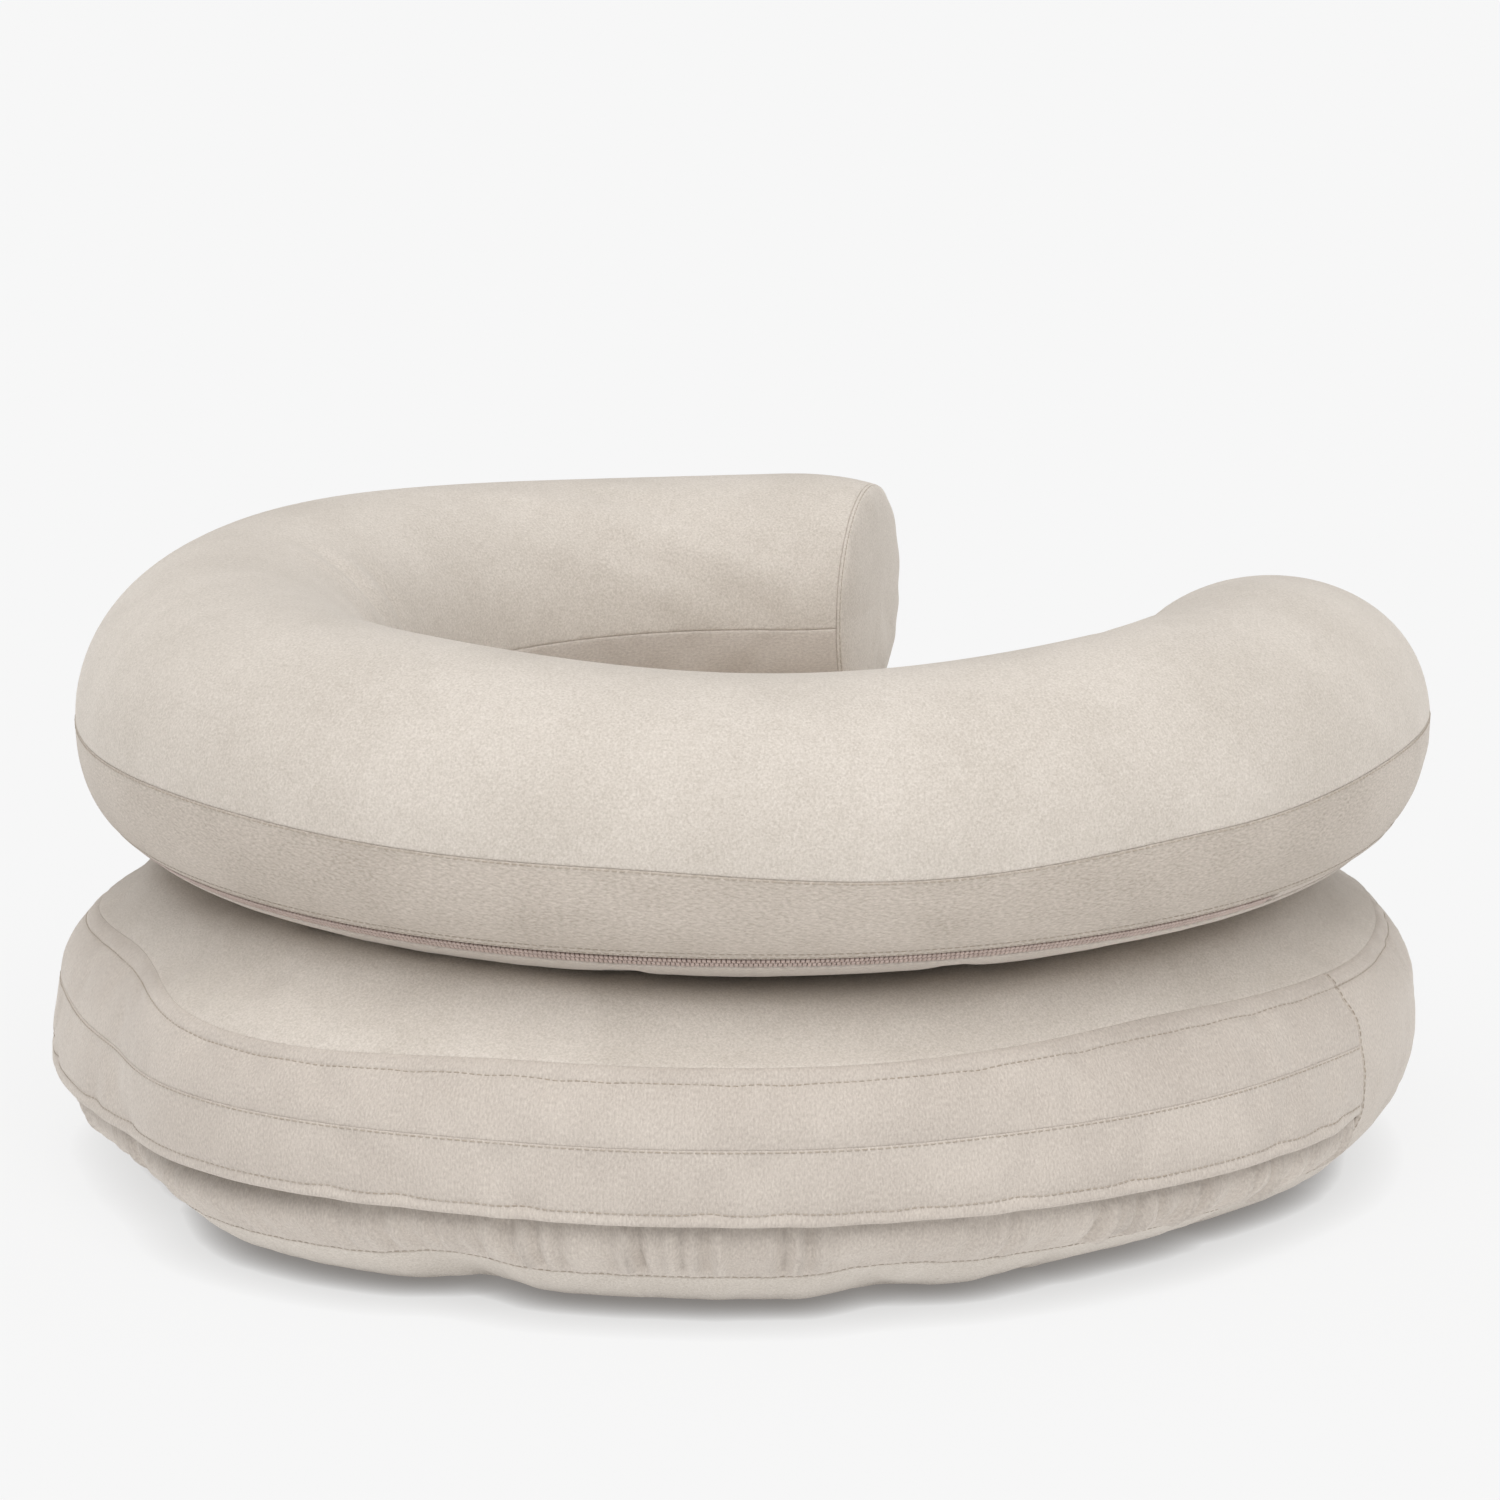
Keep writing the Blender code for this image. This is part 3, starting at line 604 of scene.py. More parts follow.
def add_cloth_map(obj, sleeve, us, ss, face_points):
    """A UV map in metres along and across the cloth, so that its nap follows it."""
    across = np.linalg.norm(np.diff(sleeve.at(us, np.full(len(us), ss[0])), axis=0), axis=-1)
    along = np.linalg.norm(np.diff(sleeve.at(np.full(len(ss), us[len(us) // 2]), ss), axis=0), axis=-1)
    v = np.concatenate([[0], np.cumsum(across)])
    w = np.concatenate([[0], np.cumsum(along)])
    grid = np.stack(np.meshgrid(v, w, indexing="ij"), axis=-1).reshape(-1, 2)
    spare = len(obj.data.vertices) - 2 * face_points
    table = np.concatenate([grid, grid, np.zeros((spare, 2))])
    corner = np.empty(len(obj.data.loops), int)
    obj.data.loops.foreach_get("vertex_index", corner)
    layer = obj.data.uv_layers.new(name="cloth")
    layer.data.foreach_set("uv", table[corner].reshape(-1))


# ---- Finishes ----

def linear(code):
    """An sRGB hex colour as the linear values that shaders take."""
    channels = [int(code[i : i + 2], 16) / 255 for i in (0, 2, 4)]
    return [c / 12.92 if c <= 0.04045 else ((c + 0.055) / 1.055) ** 2.4 for c in channels] + [1.0]


def add_node(tree, kind, links=None, **settings):
    """Adds a node. settings are its own properties, and links go to inputs: a socket or a value for each."""
    node = tree.nodes.new(kind)
    for key, value in settings.items():
        setattr(node, key, value)
    for key, value in (links or {}).items():
        if isinstance(value, bpy.types.NodeSocket):
            tree.links.new(value, node.inputs[key])
        else:
            node.inputs[key].default_value = value
    return node


def new_material(name):
    material = bpy.data.materials.new(name)
    material.use_nodes = True
    material.node_tree.nodes.clear()
    return material, material.node_tree


def finish_material(tree, shader):
    add_node(tree, "ShaderNodeOutputMaterial", {"Surface": shader.outputs["BSDF"]})


def per_metre(millimetres):
    """The noise scale whose features are this many millimetres across."""
    return 1000 / millimetres


def suede_nodes(name, light, shade, place, nap, stretch, slant=0.0):
    """Microsuede: a very short brushed polyester pile. It is matt, lightens at grazing angles, and shows
    cloudy patches where the pile was stroked one way or the other."""
    material, tree = new_material(name)
    fine_place = add_node(tree, "ShaderNodeMapping", {
        "Vector": place(tree), "Scale": stretch, "Rotation": (0, 0, slant)})
    clouds = add_node(tree, "ShaderNodeTexNoise", {
        "Vector": place(tree), "Scale": per_metre(70), "Detail": 3.0, "Roughness": 0.55})
    strokes = add_node(tree, "ShaderNodeTexNoise", {
        "Vector": fine_place.outputs["Vector"], "Scale": per_metre(9), "Detail": 4.0, "Roughness": 0.6})
    pile = add_node(tree, "ShaderNodeTexNoise", {
        "Vector": fine_place.outputs["Vector"], "Scale": per_metre(nap), "Detail": 3.0, "Roughness": 0.7})
    cloud_share = add_node(tree, "ShaderNodeMapRange", {
        "Value": clouds.outputs["Fac"], "From Min": 0.35, "From Max": 0.65, "To Min": 0.0, "To Max": 0.20})
    stroke_share = add_node(tree, "ShaderNodeMapRange", {
        "Value": strokes.outputs["Fac"], "From Min": 0.35, "From Max": 0.65, "To Min": 0.0, "To Max": 0.07})
    pile_share = add_node(tree, "ShaderNodeMapRange", {
        "Value": pile.outputs["Fac"], "From Min": 0.32, "From Max": 0.68, "To Min": 0.05, "To Max": 0.72})
    both = add_node(tree, "ShaderNodeMath", {
        0: cloud_share.outputs["Result"], 1: stroke_share.outputs["Result"]}, operation="ADD")
    share = add_node(tree, "ShaderNodeMath", {
        0: both.outputs["Value"], 1: pile_share.outputs["Result"]}, operation="ADD", use_clamp=True)
    colour = add_node(tree, "ShaderNodeMix", {
        "Factor": share.outputs["Value"], 6: linear(light), 7: linear(shade)}, data_type="RGBA")
    stroke_bump = add_node(tree, "ShaderNodeBump", {
        "Height": strokes.outputs["Fac"], "Strength": 0.15, "Distance": 0.0006})
    pile_bump = add_node(tree, "ShaderNodeBump", {
        "Height": pile.outputs["Fac"], "Strength": 0.75, "Distance": 0.0005,
        "Normal": stroke_bump.outputs["Normal"]})
    shader = add_node(tree, "ShaderNodeBsdfPrincipled", {
        "Base Color": colour.outputs[2], "Roughness": 0.92, "IOR": 1.45, "Specular IOR Level": 0.15,
        "Sheen Weight": 0.40, "Sheen Roughness": 0.45, "Sheen Tint": linear("F4EFE8"),
        "Normal": pile_bump.outputs["Normal"]})
    finish_material(tree, shader)
    return material


def object_place(tree):
    return add_node(tree, "ShaderNodeTexCoord").outputs["Object"]


def cloth_place(tree):
    return add_node(tree, "ShaderNodeUVMap", uv_map="cloth").outputs["UV"]


@functools.lru_cache(maxsize=None)
def suede_material():
    """Microsuede on the large panels, whose pile runs every way."""
    return suede_nodes("microsuede_brushed", colours().suede, colours().suede_shade, object_place, 1.1,
                       (1.0, 1.0, 1.0))


@functools.lru_cache(maxsize=None)
def shaded_band_material():
    """Microsuede on the bands, whose pile runs across them, so that its marks are drawn out that way. Its
    colours are darker than the crown's: painted shade for the less light on the upright and underside bands.
    """
    return suede_nodes("microsuede_band_shaded", colours().band, colours().band_shade, cloth_place, 1.0,
                       (0.55, 1.0, 1.0))


@functools.lru_cache(maxsize=None)
def shaded_outer_band_material():
    """The bolster's outer band: the same microsuede cut the other way, so that its pile lies down the slant
    of the ground weave. Its darker colours are painted shade, for the less light that this downward-facing
    band takes."""
    return suede_nodes("microsuede_outer_band_shaded", colours().slant, colours().slant_shade, cloth_place, 1.0,
                       (0.40, 1.0, 1.0), math.radians(38))


def woven_nodes(name, light, dark, grain, direction, fleck, relief, roughness):
    """A yarn or a weave: ribs of a scale and unevenness, flecks of a scale and detail between two
    colours, and relief of a strength and depth."""
    material, tree = new_material(name)
    place = object_place(tree)
    ribs = add_node(tree, "ShaderNodeTexWave", {
        "Vector": place, "Scale": per_metre(grain[0]), "Distortion": grain[1]}, bands_direction=direction)
    flecks = add_node(tree, "ShaderNodeTexNoise", {
        "Vector": place, "Scale": per_metre(fleck[0]), "Detail": fleck[1]})
    colour = add_node(tree, "ShaderNodeMix", {
        "Factor": flecks.outputs["Fac"], 6: linear(light), 7: linear(dark)}, data_type="RGBA")
    bump = add_node(tree, "ShaderNodeBump", {
        "Height": ribs.outputs["Fac"], "Strength": relief[0], "Distance": relief[1]})
    shader = add_node(tree, "ShaderNodeBsdfPrincipled", {
        "Base Color": colour.outputs[2], "Roughness": roughness, "Normal": bump.outputs["Normal"]})
    finish_material(tree, shader)
    return material


@functools.lru_cache(maxsize=None)
def thread_material():
    """Spun polyester sewing thread: slightly shiny, with a fine twist."""
    return woven_nodes("polyester_thread", colours().thread, colours().suede_shade, (1.2, 1.0), "DIAGONAL",
                       (12, 2.0), (0.4, 0.0001), 0.6)


@functools.lru_cache(maxsize=None)
def tape_material():
    """Woven polyester zip tape: a close herringbone that catches a little light along its ribs."""
    return woven_nodes("woven_zip_tape", colours().tape, "7E6E67", (3, 2.0), "Z",
                       (2, 3.0), (0.5, 0.0002), 0.8)


@functools.lru_cache(maxsize=None)
def cotton_material():
    """Unbleached plain-weave cotton of the inner cushions: matt, with a visible thread grid."""
    return woven_nodes("cotton_lining", colours().cotton, "D8CDB8", (4, 1.5), "X",
                       (5, 4.0), (0.3, 0.0002), 0.95)


@functools.lru_cache(maxsize=None)
def nylon_material():
    """Dyed nylon monofilament, pressed into a coil: smooth, with a soft gloss."""
    material, tree = new_material("nylon_coil")
    tone = add_node(tree, "ShaderNodeTexNoise", {"Vector": object_place(tree), "Scale": per_metre(6)})
    colour = add_node(tree, "ShaderNodeMix", {
        "Factor": tone.outputs["Fac"], 6: linear(colours().nylon), 7: linear("A3918A")}, data_type="RGBA")
    shader = add_node(tree, "ShaderNodeBsdfPrincipled", {
        "Base Color": colour.outputs[2], "Roughness": 0.45, "IOR": 1.53})
    finish_material(tree, shader)
    return material


@functools.lru_cache(maxsize=None)
def nickel_material():
    """Die-cast zinc with a satin nickel plate: a soft metal gloss with faint tumbling marks."""
    material, tree = new_material("satin_nickel")
    marks = add_node(tree, "ShaderNodeTexNoise", {
        "Vector": object_place(tree), "Scale": per_metre(1.5), "Detail": 4.0})
    rough = add_node(tree, "ShaderNodeMapRange", {
        "Value": marks.outputs["Fac"], "To Min": 0.28, "To Max": 0.42})
    bump = add_node(tree, "ShaderNodeBump", {
        "Height": marks.outputs["Fac"], "Strength": 0.15, "Distance": 0.0001})
    shader = add_node(tree, "ShaderNodeBsdfPrincipled", {
        "Base Color": linear(colours().nickel), "Metallic": 1.0, "Roughness": rough.outputs["Result"],
        "Normal": bump.outputs["Normal"]})
    finish_material(tree, shader)
    return material


def place_piece(obj, body, material, nodes=()):
    """Gives a piece its finish and says what it rides on and stands for."""
    obj.data.materials.clear()
    obj.data.materials.append(material)
    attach(obj, body)
    if nodes:
        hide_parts(*nodes)


# ---- Sewn edges ----

GATHER_REACH = 0.011


def sewn(distance, turns, crests, seed, gather=1.0, deep=1.0):
    """Lift beside a seam: its rolled edge, and small gathers that fade away from it."""
    height = sizes().pucker * gather * ripple(turns, crests, seed)
    gathers = height * np.exp(-distance / GATHER_REACH) * step(distance, 0, 0.0025)
    return gathers - roll(distance, sizes().seam_width, sizes().seam_depth * deep)


# ---- The seat cover ----

CROWN_CELL, UPPER_CELL, TIER_CELL, LOWER_CELL, SOLE_CELL = 0.0112, 0.0072, 0.0066, 0.0096, 0.0182
SEAT_POINT = 2 * math.pi * 0.32 / SEAT_AROUND
STRIP_STITCH = SEAT_TOP_LINE + 0.0080 / UPPER_CELL
FLAP_STITCH = SEAT_FLAP_LINE - 0.0050 / TIER_CELL
BAND_TOP = SEAT_FLAP_LINE - 0.0025 / TIER_CELL
# Gathers beside each seam: crests a turn, seed, height, and depth of the seam, as shares of the sizes above.
TOP_GATHERS = (120, 3, 0.7, 0.2)
MIDDLE_GATHERS = (150, 5, 1.0, 0.6)
FLAP_GATHERS = (150, 6, 1.0, 0.6)
LOWER_GATHERS = (130, 22, 1.3, 1.0)
JOIN_SHARE = 2.2
STRIP_FULL = 0.0004
FADE_TURN = 7.0
FLAP_PROUD = 0.0020
FLAP_FLARE = 0.0016
FLAP_THICKNESS = 0.0026
# The lower band starts this far behind the zip's face, and its recess is never shallower than the least.
BEHIND_ZIP = 0.0
LEAST_RECESS = 0.0050
# Beside the upright joins the band only slips behind the flap by this much.
HIDDEN_STEP = 0.0020
# It is back at the sleeve's own line, and fullest, this far below its top.
OUT_BY = 0.022
BAND_FULL = 0.0020
# The height of its folds, the share of it that is there all round, and where there is more of it.
FOLD_HEIGHT = 0.0050
LEAST_FOLDS = 0.35
MORE_FOLDS = ((128, 30, 0.65), (178, 26, 0.65))
# Points round the crown and the sole.
FINE_AROUND = 720


def seat_point(angle):
    return angle / 360 * SEAT_AROUND


def tier_points(start, end, spacing=0.0030):
    return lines_between(seat_point(start), seat_point(end), SEAT_POINT, spacing)


def seat_top_face(u, s):
    away = (SEAT_TOP_LINE - u) * CROWN_CELL
    return sewn(away, s / SEAT_AROUND, *TOP_GATHERS)


def joins(s, start, end, seed, u):
    """Lift beside the upright joins at both ends of a band."""
    first = (s - seat_point(start)) * SEAT_POINT
    last = (seat_point(end) - s) * SEAT_POINT
    return sewn(first, u / 10, 12, seed, 1.0, JOIN_SHARE) + sewn(last, u / 10, 12, seed + 1, 1.0, JOIN_SHARE)


def strip(u, s):
    """The topstitched strip under the top seam: two folded allowances lie behind it and fill it out."""
    from_top = (u - SEAT_TOP_LINE) * UPPER_CELL
    full = STRIP_FULL * step(from_top, 0, 0.002) * (1 - step(from_top, 0.0055, 0.0085))
    stitched = dimple((u - STRIP_STITCH) * UPPER_CELL, 0.0010, 0.0004)
    return sewn(from_top, s / SEAT_AROUND, *TOP_GATHERS) + full - stitched


def upper_face(u, s):
    from_middle = (SEAT_MIDDLE_LINE - u) * UPPER_CELL
    return strip(u, s) + sewn(from_middle, s / SEAT_AROUND, *MIDDLE_GATHERS)


def upper_band_face(u, s):
    return upper_face(u, s) + joins(s, TIER_START, TIER_END, 11, u)


def within_tier(s):
    """0 at the upright joins, and 1 further from them than the flap takes to stand off."""
    angle = s / SEAT_AROUND * 360
    return step(angle, TIER_START, TIER_START + FADE_TURN) * (1 - step(angle, TIER_END - FADE_TURN, TIER_END))


def flap_lift(u, s):
    """The tier leans out over the zip, and the rim under its stitches flares."""
    from_middle = (u - SEAT_MIDDLE_LINE) * TIER_CELL
    to_edge = (SEAT_FLAP_LINE - u) * TIER_CELL
    flare = FLAP_FLARE * (1 - step(to_edge, 0.0008, 0.0050))
    return (FLAP_PROUD * step(from_middle, 0.004, 0.028) + flare) * within_tier(s)


def flap_face(u, s):
    """The lower tier: sewn along the middle seam, and folded under at its proud lower edge."""
    from_middle = (u - SEAT_MIDDLE_LINE) * TIER_CELL
    to_edge = (SEAT_FLAP_LINE - u) * TIER_CELL
    lift = flap_lift(u, s) + sewn(from_middle, s / SEAT_AROUND, *FLAP_GATHERS)
    lift = lift + 0.0002 * ripple(s / SEAT_AROUND, 40, 8) * step(from_middle, 0.010, 0.032)
    lift = lift - roll(to_edge, 0.0011, 0.0009)
    lift = lift + joins(s, TIER_START, TIER_END, 13, u)
    return lift - dimple((u - FLAP_STITCH) * TIER_CELL, 0.0010, 0.0002)


def flap_back(u, s):
    to_edge = (SEAT_FLAP_LINE - u) * TIER_CELL
    return flap_lift(u, s) - FLAP_THICKNESS + roll(to_edge, 0.0011, 0.0008)


def recess(s):
    """How far the sleeve stands outside the zip at a point round the seat."""
    rim = seat_sleeve().at(SEAT_FLAP_LINE, s)
    return np.maximum(np.hypot(rim[..., 0], rim[..., 1]) - SEAT_ZIP_RADIUS + BEHIND_ZIP, LEAST_RECESS)


def set_back(u, s):
    """The lower band comes out from behind the zip to the sleeve's own line."""
    shallow = HIDDEN_STEP * (1 - within_tier(s))
    return (recess(s) * within_tier(s) + shallow) * (1 - step((u - BAND_TOP) * LOWER_CELL, 0.0, OUT_BY))


def lower_band_face(u, s):
    """The band behind the flap: set back at the zip, gathered in small upright folds, full at its foot."""
    from_top = (u - BAND_TOP) * LOWER_CELL
    to_seam = (SEAT_LOWER_LINE - u) * LOWER_CELL
    lift = BAND_FULL * np.exp(-((from_top - OUT_BY) / 0.009) ** 2) - set_back(u, s)
    gathered = LEAST_FOLDS + hills(s / SEAT_AROUND * 360, MORE_FOLDS)
    gathers = FOLD_HEIGHT * ripple(s / SEAT_AROUND, 150, 21) * gathered * step(from_top, 0.002, 0.012)
    gathers = gathers * step(to_seam, 0.0, 0.010)
    upright = joins(s, TIER_START, TIER_END, 15, u) * step(from_top, 0.004, 0.014)
    return lift + gathers + sewn(to_seam, s / SEAT_AROUND, *LOWER_GATHERS) + upright


def lower_band_back(u, s):
    return -set_back(u, s) - sizes().cloth


def front_band_face(u, s):
    """The plain band on the opening's side, with the same strip of topstitching under its top seam."""
    to_seam = (SEAT_LOWER_LINE - u) * LOWER_CELL
    lift = strip(u, s) + sewn(to_seam, s / SEAT_AROUND, *LOWER_GATHERS)
    return lift + joins(s, TIER_END, TIER_START + 360, 17, u)


def sole_face(u, s):
    away = (u - SEAT_LOWER_LINE) * SOLE_CELL
    drapes = 0.0008 * ripple(s / SEAT_AROUND, 70, 25) * np.exp(-away / 0.03) * step(away, 0, 0.010)
    return sewn(away, s / SEAT_AROUND, *LOWER_GATHERS) + drapes


def rest_on_floor(obj):
    for vertex in obj.data.vertices:
        vertex.co.z = max(vertex.co.z, 0.0)


class CUSHION_OT_seat_cover(bpy.types.Operator):
    """Sews the seat's cover: top, bands, sole and the plain band on the open side"""
    bl_idname = "cushion.seat_cover"
    bl_label = "Seat cover"

    def execute(self, context):
        sleeve = seat_sleeve()
        ring = np.arange(FINE_AROUND) * SEAT_AROUND / FINE_AROUND
        top_rows = lines_between(0, SEAT_TOP_LINE, CROWN_CELL, 0.0065, (False, True))
        top = panel("seat_crown_cloth", sleeve, top_rows, ring, seat_top_face, wrap=True, pole=-1)
        place_piece(top, "seat", suede_material(), ["seat_top_panel"])
        upper_rows = lines_between(
            SEAT_TOP_LINE, SEAT_MIDDLE_LINE, UPPER_CELL, 0.0035, stitched=[STRIP_STITCH])
        tier = tier_points(TIER_START, TIER_END)
        upper = panel("seat_upper_tier_cloth", sleeve, upper_rows, tier, upper_band_face)
        place_piece(upper, "seat", shaded_band_material(), ["seat_upper_band"])
        low_rows = lines_between(BAND_TOP, SEAT_LOWER_LINE, LOWER_CELL, 0.0025, (False, True))
        low = panel("seat_lower_band_cloth", sleeve, low_rows, tier, lower_band_face, lower_band_back)
        place_piece(low, "seat", shaded_band_material(), ["seat_lower_band"])
        plain_rows = np.unique(np.concatenate([
            lines_between(SEAT_TOP_LINE, SEAT_MIDDLE_LINE, UPPER_CELL, 0.0035, (True, False), [STRIP_STITCH]),
            lines_between(SEAT_MIDDLE_LINE, SEAT_LOWER_LINE, LOWER_CELL, 0.0045, (False, True))]))
        plain = panel(
            "seat_plain_band_cloth", sleeve, plain_rows, tier_points(TIER_END, TIER_START + 360),
            front_band_face)
        place_piece(plain, "seat", shaded_band_material(), ["seat_front_band"])
        sole_rows = lines_between(SEAT_LOWER_LINE, SEAT_LAST_RING, SOLE_CELL, 0.006, (True, False))
        sole = panel("seat_sole_cloth", sleeve, sole_rows, ring, sole_face, wrap=True, pole=1)
        rest_on_floor(sole)
        place_piece(sole, "seat", suede_material(), ["seat_bottom_panel"])
        return {"FINISHED"}


class CUSHION_OT_seat_flap(bpy.types.Operator):
    """Sews the lower tier, which ends in the folded flap that hides the seat's zip"""
    bl_idname = "cushion.seat_flap"
    bl_label = "Seat zip flap"

    def execute(self, context):
        rows = lines_between(
            SEAT_MIDDLE_LINE, SEAT_FLAP_LINE, TIER_CELL, 0.0030, stitched=[FLAP_STITCH])
        flap = panel(
            "seat_flap_tier_cloth", seat_sleeve(), rows, tier_points(TIER_START, TIER_END),
            flap_face, flap_back)
        place_piece(flap, "seat", shaded_band_material(), ["seat_middle_band", "seat_zip_flap"])
        return {"FINISHED"}


# ---- The bolster cover ----

TOP_CELL, INNER_CELL, UNDER_CELL, OUTER_CELL = 0.0104, 0.0110, 0.0122, 0.0088
# From ring to ring along each panel.
TOP_RING, INNER_RING, UNDER_RING, OUTER_RING = 0.0105, 0.0074, 0.0115, 0.0137
OUTER_HEM_GAP = 0.0068
UNDER_HEM_GAP = 0.0046
HEM_FULL = 0.0007
HEM_THICKNESS = 0.0022
UNDER_HEM = ZIP_LINE - UNDER_HEM_GAP / UNDER_CELL
OUTER_HEM = ZIP_LINE + OUTER_HEM_GAP / OUTER_CELL
HEM_STITCHES = (OUTER_HEM + 0.0020 / OUTER_CELL, OUTER_HEM + 0.0062 / OUTER_CELL)
CAP_STITCH = 0.0060
# Gathers beside each seam, as on the seat.
OUTER_GATHERS = (130, 41, 0.8)
INNER_GATHERS = (90, 42, 1.2)
HEM_GATHERS = (80, 43)
DOME_CELL = 0.0130
CAP_AROUND = 240
BOLSTER_MIDDLE = (FIRST_BODY_RING + LAST_BODY_RING) / 2


def arc_share(u):
    return (u - FIRST_BODY_RING) / BODY_RINGS


def arc_rows(cell, spacing=0.0042):
    return lines_between(FIRST_BODY_RING, LAST_BODY_RING, cell, spacing)


def beside_caps(u, s, cell):
    """Lift beside the end panels' seams."""
    first = (u - FIRST_BODY_RING) * cell
    last = (LAST_BODY_RING - u) * cell
    return sewn(first, s / BOLSTER_AROUND, 24, 31) + sewn(last, s / BOLSTER_AROUND, 24, 32)


# Soft folds across the crown: the angle, the part of the crown they cross, their half width and depth.
FOLDS = (
    (30, 14, 22, 2.2, 0.0022), (37, 12, 20, 2.6, 0.0026), (46, 15, 22, 2.4, 0.0018),
    (164, 16, 22, 1.6, 0.0022), (189, 15, 22, 1.8, 0.0022), (-50, 15, 22, 1.8, 0.0016),
)
# Each has a ridge beside it: the ridge's share of the depth, and how many half widths away it lies.
FOLD_RIDGE = 0.6
FOLD_APART = 1.6


def folds(u, s):
    angle = angle_at(u)
    depth = 0.0
    for centre, first, last, half_width, deep in FOLDS:
        across = hill(s, (first + last) / 2, (last - first) / 2)
        ridge = FOLD_RIDGE * hill(angle, centre + FOLD_APART * half_width, half_width)
        depth = depth + deep * across * (hill(angle, centre, half_width) - ridge)
    return depth


def bolster_top_face(u, s):
    lift = sewn(s * TOP_CELL, arc_share(u), *OUTER_GATHERS) - folds(u, s)
    lift = lift + sewn((INNER_LINE - s) * TOP_CELL, arc_share(u), *INNER_GATHERS)
    return lift + beside_caps(u, s, TOP_RING)


def bolster_inner_face(u, s):
    lift = sewn((s - INNER_LINE) * INNER_CELL, arc_share(u), *INNER_GATHERS)
    lift = lift + sewn((HEM_LINE - s) * INNER_CELL, arc_share(u), *HEM_GATHERS)
    return lift + beside_caps(u, s, INNER_RING)


def hem(distance):
    """A folded edge: fuller where the cloth is double, and rounded over."""
    return HEM_FULL * (1 - step(distance, 0.0050, 0.0085)) - roll(distance, 0.0014, 0.0011)


def bolster_under_face(u, s):
    lift = sewn((s - HEM_LINE) * UNDER_CELL, arc_share(u), *HEM_GATHERS)
    return lift + hem((UNDER_HEM - s) * UNDER_CELL) + beside_caps(u, s, UNDER_RING)


def bolster_outer_face(u, s):
    lift = sewn((BOLSTER_AROUND - s) * OUTER_CELL, arc_share(u), *OUTER_GATHERS)
    lift = lift + hem((s - OUTER_HEM) * OUTER_CELL) + beside_caps(u, s, OUTER_RING)
    for line in HEM_STITCHES:
        lift = lift - dimple((s - line) * OUTER_CELL, 0.0010, 0.0005)
    return lift


def cap_face(u, s):
    away = np.where(u < BOLSTER_MIDDLE, FIRST_BODY_RING - u, u - LAST_BODY_RING) * DOME_CELL
    lift = sewn(away, s / BOLSTER_AROUND, 24, 31, 0.6)
    waves = 0.0005 * ripple(s / BOLSTER_AROUND, 9, 35) * step(away, 0.004, 0.020)
    return lift + waves * (1 - step(away, 0.03, 0.05)) - dimple(away - CAP_STITCH, 0.0010, 0.0006)


class CUSHION_OT_bolster_cover(bpy.types.Operator):
    """Sews the bolster's cover: top, outer, inner and under bands, and the two domed end panels"""
    bl_idname = "cushion.bolster_cover"
    bl_label = "Bolster cover"

    def execute(self, context):
        sleeve = bolster_sleeve()
        top = panel(
            "bolster_crown_cloth", sleeve, arc_rows(TOP_RING),
            lines_between(0, INNER_LINE, TOP_CELL, 0.0050), bolster_top_face)
        place_piece(top, "bolster", suede_material(), ["bolster_top_panel"])
        inner = panel(
            "bolster_inner_cloth", sleeve, arc_rows(INNER_RING, 0.0030),
            lines_between(INNER_LINE, HEM_LINE, INNER_CELL, 0.0050), bolster_inner_face)
        place_piece(inner, "bolster", shaded_band_material(), ["bolster_inner_band"])
        under = panel(
            "bolster_under_cloth", sleeve, arc_rows(UNDER_RING),
            lines_between(HEM_LINE, UNDER_HEM, UNDER_CELL, 0.0060), bolster_under_face)
        place_piece(under, "bolster", shaded_band_material(), ["bolster_under_panel"])
        outer = panel(
            "bolster_outer_cloth", sleeve, arc_rows(OUTER_RING),
            lines_between(OUTER_HEM, BOLSTER_AROUND, OUTER_CELL, 0.0040, stitched=HEM_STITCHES),
            bolster_outer_face)
        place_piece(outer, "bolster", shaded_outer_band_material(), ["bolster_outer_band"])
        ring = np.arange(CAP_AROUND) * BOLSTER_AROUND / CAP_AROUND
        caps = (
            ("right", 0, FIRST_BODY_RING, -1, (False, True), FIRST_BODY_RING - CAP_STITCH / DOME_CELL),
            ("left", LAST_BODY_RING, sleeve.count - 1, 1, (True, False),
             LAST_BODY_RING + CAP_STITCH / DOME_CELL),
        )
        for side, start, end, pole, edges, stitch in caps:
            rows = lines_between(start, end, DOME_CELL, 0.0035, edges, [stitch])
            cap = panel(f"bolster_cap_{side}_cloth", sleeve, rows, ring, cap_face, wrap=True, pole=pole)
            place_piece(cap, "bolster", suede_material(), [f"bolster_end_panel_{side}"])
        return {"FINISHED"}


# ---- The filled inner cushions ----

INNER_DEPTH = 0.0050
# The inner cushion is pressed in behind the zip over about this many rings.
PRESSED_RINGS = 2.0


